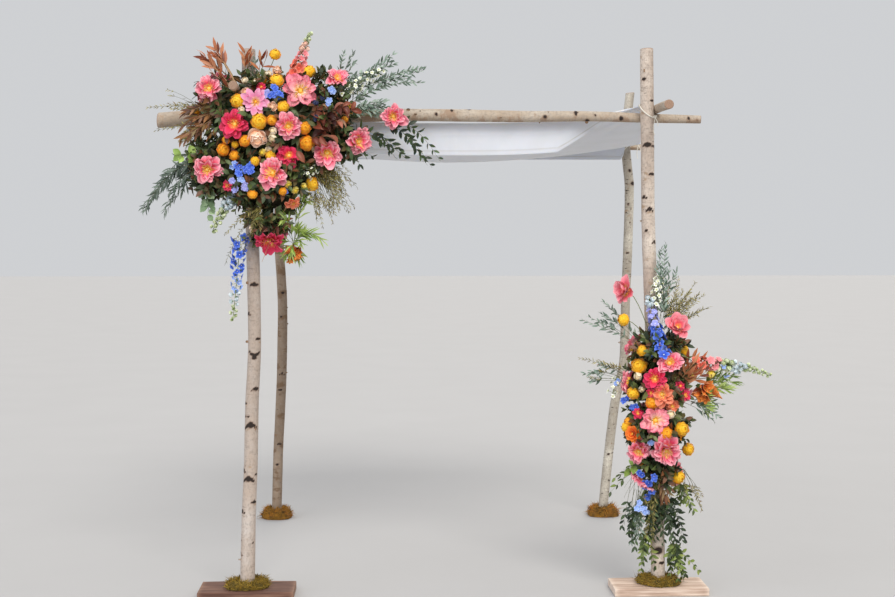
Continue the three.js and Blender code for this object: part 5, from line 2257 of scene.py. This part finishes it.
POLE_FLOWERS = {
    "peonies": Cutting("petals_pink", ("post_flower_bank", "post_top_blooms"), {
        CORAL_PEONY: ((669, 364, 120, 0, 0, 0.7), (638.7, 450.6, 108), (665.5, 449.5, 142, 0, 0, -0.2)),
        CUP_PEONY: ((627, 291, 118, -1.2, 0.2, 0.2), (677, 328, 112, 0.1, -0.1, 0.7)),
        HOT_PEONY: (
            (655.5, 379, 106), (638, 414, 50), (684, 395, 54, 0.5, 0, 0), (651, 393, 46), (680, 386, 44),
        ),
        PALE_PEONY: ((654.6, 420.3, 128),),
        SALMON_PEONY: ((662, 394, 108), (672, 406, 66)),
    }, spare={CORAL_PEONY: 4, PALE_PEONY: 2}),
    "ranunculus": Cutting("petals_orange", (), {
        YELLOW_BALL: (
            (624, 319.8, 64, -1.4, 0.2, 0), (639.2, 366.3, 80), (633.2, 393, 64),
            (681.5, 429, 74, 0.3, 0, 0), (688, 449.3, 64, 0.5, 0, 0), (678, 476.9, 70, 0.2, 0, -0.2),
            (642.2, 350.8, 58, 0, 0, 0.9),
        ),
        ORANGE_BALL: (
            (652.4, 402.5, 72, 0, 0, 0.3), (666, 433.4, 66, 0, 0, 0.4), (628.5, 421.8, 48, -0.6, 0, 0),
        ),
        DEEP_RANUNCULUS: ((633.2, 434, 84, -0.2, 0, 0),),
        LEMON_BUD: ((711, 374.5, 42, 0, 0, 0.8), (693, 376.6, 36)),
        CREAM_BUD: ((638, 376.5, 44, 0, 0, -0.4), (670.6, 414.6, 48, 0.3, 0, 0), (642, 389, 34)),
    }, spare={YELLOW_BALL: 4, ORANGE_BALL: 3}),
    "blue_flowers": Cutting("petals_blue", (), {
        BLUE_FLORET: (
            (641.5, 474, 50), (647, 485, 56), (648.4, 495, 48), (625, 400, 44, -0.5, 0, 0), (635, 407, 48),
            (640, 482, 44), (654, 478, 44), (652, 490, 42),
        ),
        SKY_FLORET: (
            (640, 503, 40), (645.6, 512, 40), (643, 507, 38), (637, 508, 34), (651, 441, 38),
            (617, 382, 36, -0.8, 0, 0), (663, 350, 36),
        ),
    }),
    "delphinium": Cutting("petals_blue", spikes=(
        (LILAC_SPIKE, 662, 357, 649, 297, 0.052, 0.026, 40, 0.0, 0.55, -1.12, -1.04),
    )),
    "right_strand": Cutting("petals_coral", ("post_right_strand",), spikes=(
        (LIP_STRAND, 693, 365, 771, 376, 0.048, 0.014, 46, 0.07),
        ((SKY_FLORET, PALE_BLUE_BUD), 716, 370, 746, 371, 0.034, 0.016, 7, 0.0, 1.2),
    )),
    "orange_bells": Cutting("petals_orange", ("post_bell_cluster",), spikes=(
        ((ORANGE_BELL,), 700, 386, 710, 398, 0.072, 0.064, 7, 0.0, 0.15),
    )),
    "white_blossom": Cutting("petals_coral", spikes=(
        ((WHITE_FLORET,), 655, 304, 659, 276, 0.026, 0.018, 26, 0.0, 1.5),
        ((WHITE_FLORET,), 612, 396, 617, 376, 0.022, 0.016, 12, 0.0, 1.5),
    )),
    "olive_sprigs": Cutting("foliage_green", ("post_upper_spray", "post_left_spray"), sprays=(
        (OLIVE, 660, 320, 665, 246, 2, 0.06, 0.02), (OLIVE, 662, 326, 671, 274, 3, 0.10, 0.02),
        (OLIVE, 645, 350, 592, 314, 5, 0.16, 0.06), (OLIVE, 640, 385, 590, 374, 6, 0.14, 0.06),
        (OLIVE, 680, 400, 716, 414, 4, 0.20, 0.06),
    )),
    "copper_leaves": Cutting("foliage_copper", sprays=(
        (COPPER, 676, 388, 697, 360, 4, 0.24, 0.05, -1.04, -1.08),
        (COPPER, 676, 392, 702, 376, 3, 0.2, 0.05, -1.04, -1.1),
        (RUSSET, 655, 462, 660, 494, 6, 0.2, 0.0, -1.04, -1.06), (RUSSET, 645, 440, 624, 434, 3, 0.3),
    )),
    "wispy_grass": Cutting("foliage_green", sprays=(
        (WISP, 668, 330, 698, 300, 12, 0.24, 0.02), (WISP, 665, 320, 680, 290, 8, 0.24, 0.02),
        (WISP, 632, 380, 600, 366, 8, 0.25, 0.04), (WISP, 658, 470, 656, 530, 12, 0.14, 0.0, -1.06, -1.0),
        (WISP, 684, 470, 700, 498, 8, 0.3, 0.08),
    )),
    "lime_bracts": Cutting("foliage_green", sprays=(
        (TUFT, 704, 386, 722, 374, 6, 0.4, 0.04), (LIME, 700, 388, 720, 388, 2, 0.2, 0.02),
        (TUFT, 690, 404, 712, 412, 4, 0.3, 0.10), (LIME, 642, 462, 620, 469, 2, 0.1),
    )),
    "trailing_left": Cutting("foliage_green", ("post_trailing_left",), sprays=(
        (JASMINE, 640, 462, 630, 540, 6, 0.09, 0.02), (SUNLIT, 642, 470, 622, 496, 6, 0.24, 0.08),
        (SUNLIT, 645, 530, 641, 562, 4, 0.14, 0.02), (OLIVE, 638, 490, 634, 540, 6, 0.12, 0.04),
    )),
    "trailing_right": Cutting("foliage_green", ("post_trailing_right",), sprays=(
        (SUNLIT, 676, 474, 688, 504, 6, 0.26, 0.06), (JASMINE, 668, 490, 678, 545, 6, 0.10, 0.0),
        (SUNLIT, 672, 540, 680, 576, 9, 0.20, 0.04),
        (JASMINE, 655, 490, 660, 540, 7, 0.12, 0.0, -1.03, -1.0),
    )),
}


@dataclass
class Studio:
    """The pale floor, the soft lights and the camera.

    Each lamp is a large soft light far off: its name, where it stands, how many degrees it spans, its
    strength and its colour. air is the colour and the strength of the light from all round.
    """

    floor_size: float = 90.0
    air: tuple[str, float] = ("#f2f4f7", 0.70)
    lamps: tuple[tuple[str, tuple[float, float, float], float, float, str], ...] = (
        ("key", (1.2, -4.9, 4.3), 32.0, 2.0, "#fffaf2"),
        ("fill", (-4.5, -4.0, 2.0), 60.0, 0.95, "#f6f8ff"),
        ("rear", (1.5, 5.0, 2.9), 40.0, 1.0, "#fff3e0"),
    )

    def build(self, viewpoint: Viewpoint) -> None:
        """Makes the stage and the camera.

        Args:
            viewpoint: The photograph's.
        """
        scene = bpy.context.scene
        scene.view_settings.view_transform = "Standard"
        half = self.floor_size / 2
        corners = [(-half, -half, 0), (half, -half, 0), (half, half, 0), (-half, half, 0)]
        mesh = bpy.data.meshes.new("studio_floor")
        mesh.from_pydata(corners, [], [(0, 1, 2, 3)])
        floor = bpy.data.objects.new("studio_floor", mesh)
        scene.collection.objects.link(floor)
        mesh.materials.append(PaleFloor("Matt studio paint", 0.9).material())
        world = bpy.data.worlds.new("studio_air")
        world.use_nodes = True
        sky = world.node_tree.nodes["Background"]
        sky.inputs["Color"].default_value = (*linear(self.air[0]), 1)
        sky.inputs["Strength"].default_value = self.air[1]
        scene.world = world
        for name, place, spread, strength, colour in self.lamps:
            data = bpy.data.lights.new(name, "SUN")
            data.angle, data.energy, data.color = math.radians(spread), strength, linear(colour)
            lamp = bpy.data.objects.new(name, data)
            lamp.rotation_euler = Vector(place).to_track_quat("Z", "Y").to_euler()
            scene.collection.objects.link(lamp)
        viewpoint.camera()


KNOTS = {
    "post_front_left": (
        (1.459, 10, 0.050, 0.14, 0.5), (1.323, -55, 0.036, 0.1, 0.7), (1.207, 40, 0.034, 0.1, 0.6),
        (1.122, 5, 0.060, 0.16, -0.6), (0.973, 35, 0.046, 0.10, 0.5), (0.905, -70, 0.034, 0.1, 0.6),
        (0.847, -40, 0.026, 0.1, 0.5), (0.805, -3, 0.070, 0.13, 0.75), (0.610, -45, 0.010),
        (0.590, -75, 0.048, 0.10, 0.8), (0.571, 60, 0.028, 0.10, 0.7), (0.552, -12, 0.066, 0.13, 0.7),
        (0.443, 48, 0.036, 0.1, 0.5), (0.397, -66, 0.044, 0.10, 0.6), (0.286, 68, 0.010),
        (0.251, 45, 0.012), (0.196, -80, 0.038, 0.1, 0.6),
    ),
    "post_front_right": (
        (2.412, -35, 0.036, 0.1, 0.5), (2.314, 40, 0.030, 0.1, 0.5), (2.108, -8, 0.054, 0.16, 0.35),
        (2.100, 75, 0.040, 0.30, 0.3), (1.973, 30, 0.040, 0.1, 0.5), (1.866, -44, 0.036, 0.1, 0.6),
        (1.809, 6, 0.050, 0.1, 0.8), (1.707, -28, 0.034, 0.1, 0.6), (1.655, 46, 0.036, 0.1, 0.5),
        (0.202, -5, 0.052, 0.08), (0.137, 24, 0.036, 0.08, 0.3),
    ),
    "post_rear_left": (
        (1.339, 12, 0.026, 0.12), (1.197, -15, 0.020), (0.860, 8, 0.034, 0.12, 0.6),
        (0.765, -10, 0.030, 0.10, 0.5), (0.445, 15, 0.032, 0.10, 0.6), (0.321, -5, 0.022),
    ),
    "post_rear_right": (
        (0.368, -10, 0.030, 0.16, 0.4), (2.060, 15, 0.024), (1.985, 40, 0.034, 0.24), (1.860, -20, 0.020),
        (1.748, 10, 0.022, 0.1, 0.4), (1.570, -12, 0.024, 0.1, 0.5),
    ),
    "crossbar_front": (
        (-0.103, 5, 0.022, 0.12), (-0.028, 50, 0.024, 0.16), (0.052, 80, 0.030, 0.22),
        (0.409, -8, 0.024, 0.12), (0.552, 40, 0.044, 0.14, 0.5), (0.609, -60, 0.026, 0.12),
        (0.646, 10, 0.014), (0.769, -20, 0.030, 0.14), (1.085, 10, 0.020, 0.10), (1.123, -15, 0.014),
    ),
}


def logs() -> dict[str, BirchLog]:
    """Lists the eight logs, with the knots that show on them.

    Returns:
        The logs by the names of their nodes.
    """
    # The front-left post gets painted shade above breast height, where the flowers shade it.
    left = replace(FRONT_BARK, name="White birch bark, painted shade above", shaded=0.30)
    right = replace(FRONT_BARK, name="White birch bark, fine-flecked", pale="#dfd3c6", fleck_share=0.33)
    rows = (
        ("post_front_left", Lie.UPRIGHT, left, 11, {"saw_slope": 0.06}),
        ("post_front_right", Lie.UPRIGHT, right, 23, {}),
        ("post_rear_left", Lie.UPRIGHT, LEFT_REAR_BARK, 37, {}),
        ("post_rear_right", Lie.UPRIGHT, RIGHT_REAR_BARK, 41, {"spare": 26}),
        ("crossbar_front", Lie.ACROSS, BAR_BARK, 53, {}),
        ("crossbar_rear", Lie.ACROSS, BAR_BARK, 59, {}),
        ("side_bar_left", Lie.ALONG, BAR_BARK, 61, {}),
        ("side_bar_right", Lie.ALONG, BAR_BARK, 67, {}),
    )
    return {
        name: BirchLog(name, lie, bark, seed, tuple(Knot(*k) for k in KNOTS.get(name, ())), **more)
        for name, lie, bark, seed, more in rows
    }


def main() -> None:
    """Builds the chuppah piece by piece."""
    logging.basicConfig(level=logging.INFO, format="%(message)s")
    viewpoint = Viewpoint()
    Studio().build(viewpoint)
    birch = logs()
    for piece in birch.values():
        piece.build()
        BarkPeels(piece).build()
    cloth = CanopyCloth()
    for i, (name, post) in enumerate((n, b) for n, b in birch.items() if n.startswith("post")):
        place = name.removeprefix("post_")
        rear, right = "rear" in place, "right" in place
        FootBoard("base_board_" + place, BOARD_IN_PAINTED_SUN if right else BOARD_IN_PAINTED_SHADE, 70 + i).build()
        MossHeap("moss_" + place, post, 80 + i, colours=RUST_MOSS if rear else GREEN_MOSS).build()
        edge = cloth.rear if rear else cloth.front
        corner = (edge.x[right], edge.y + 8 * MM if rear else edge.y - 8 * MM)
        tails = (0.085, 0.045) if right else (0.06, 0.05)
        ClothTie("cloth_tie_" + place, post, corner, edge.ties[right], tails).build()
    cloth.build()
    banks = (
        ("corner", viewpoint, "corner_flower_bank", (-0.90, -1.0, 1.85, 2.40), CORNER_FLOWERS, 470, 301),
        ("pole", viewpoint, "post_flower_bank", (0.925, -1.0, 0.60, 1.15), POLE_FLOWERS, 270, 601),
    )
    for bank in banks:
        Arrangement(*bank).build()
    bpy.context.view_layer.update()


if __name__ == "__main__":
    main()
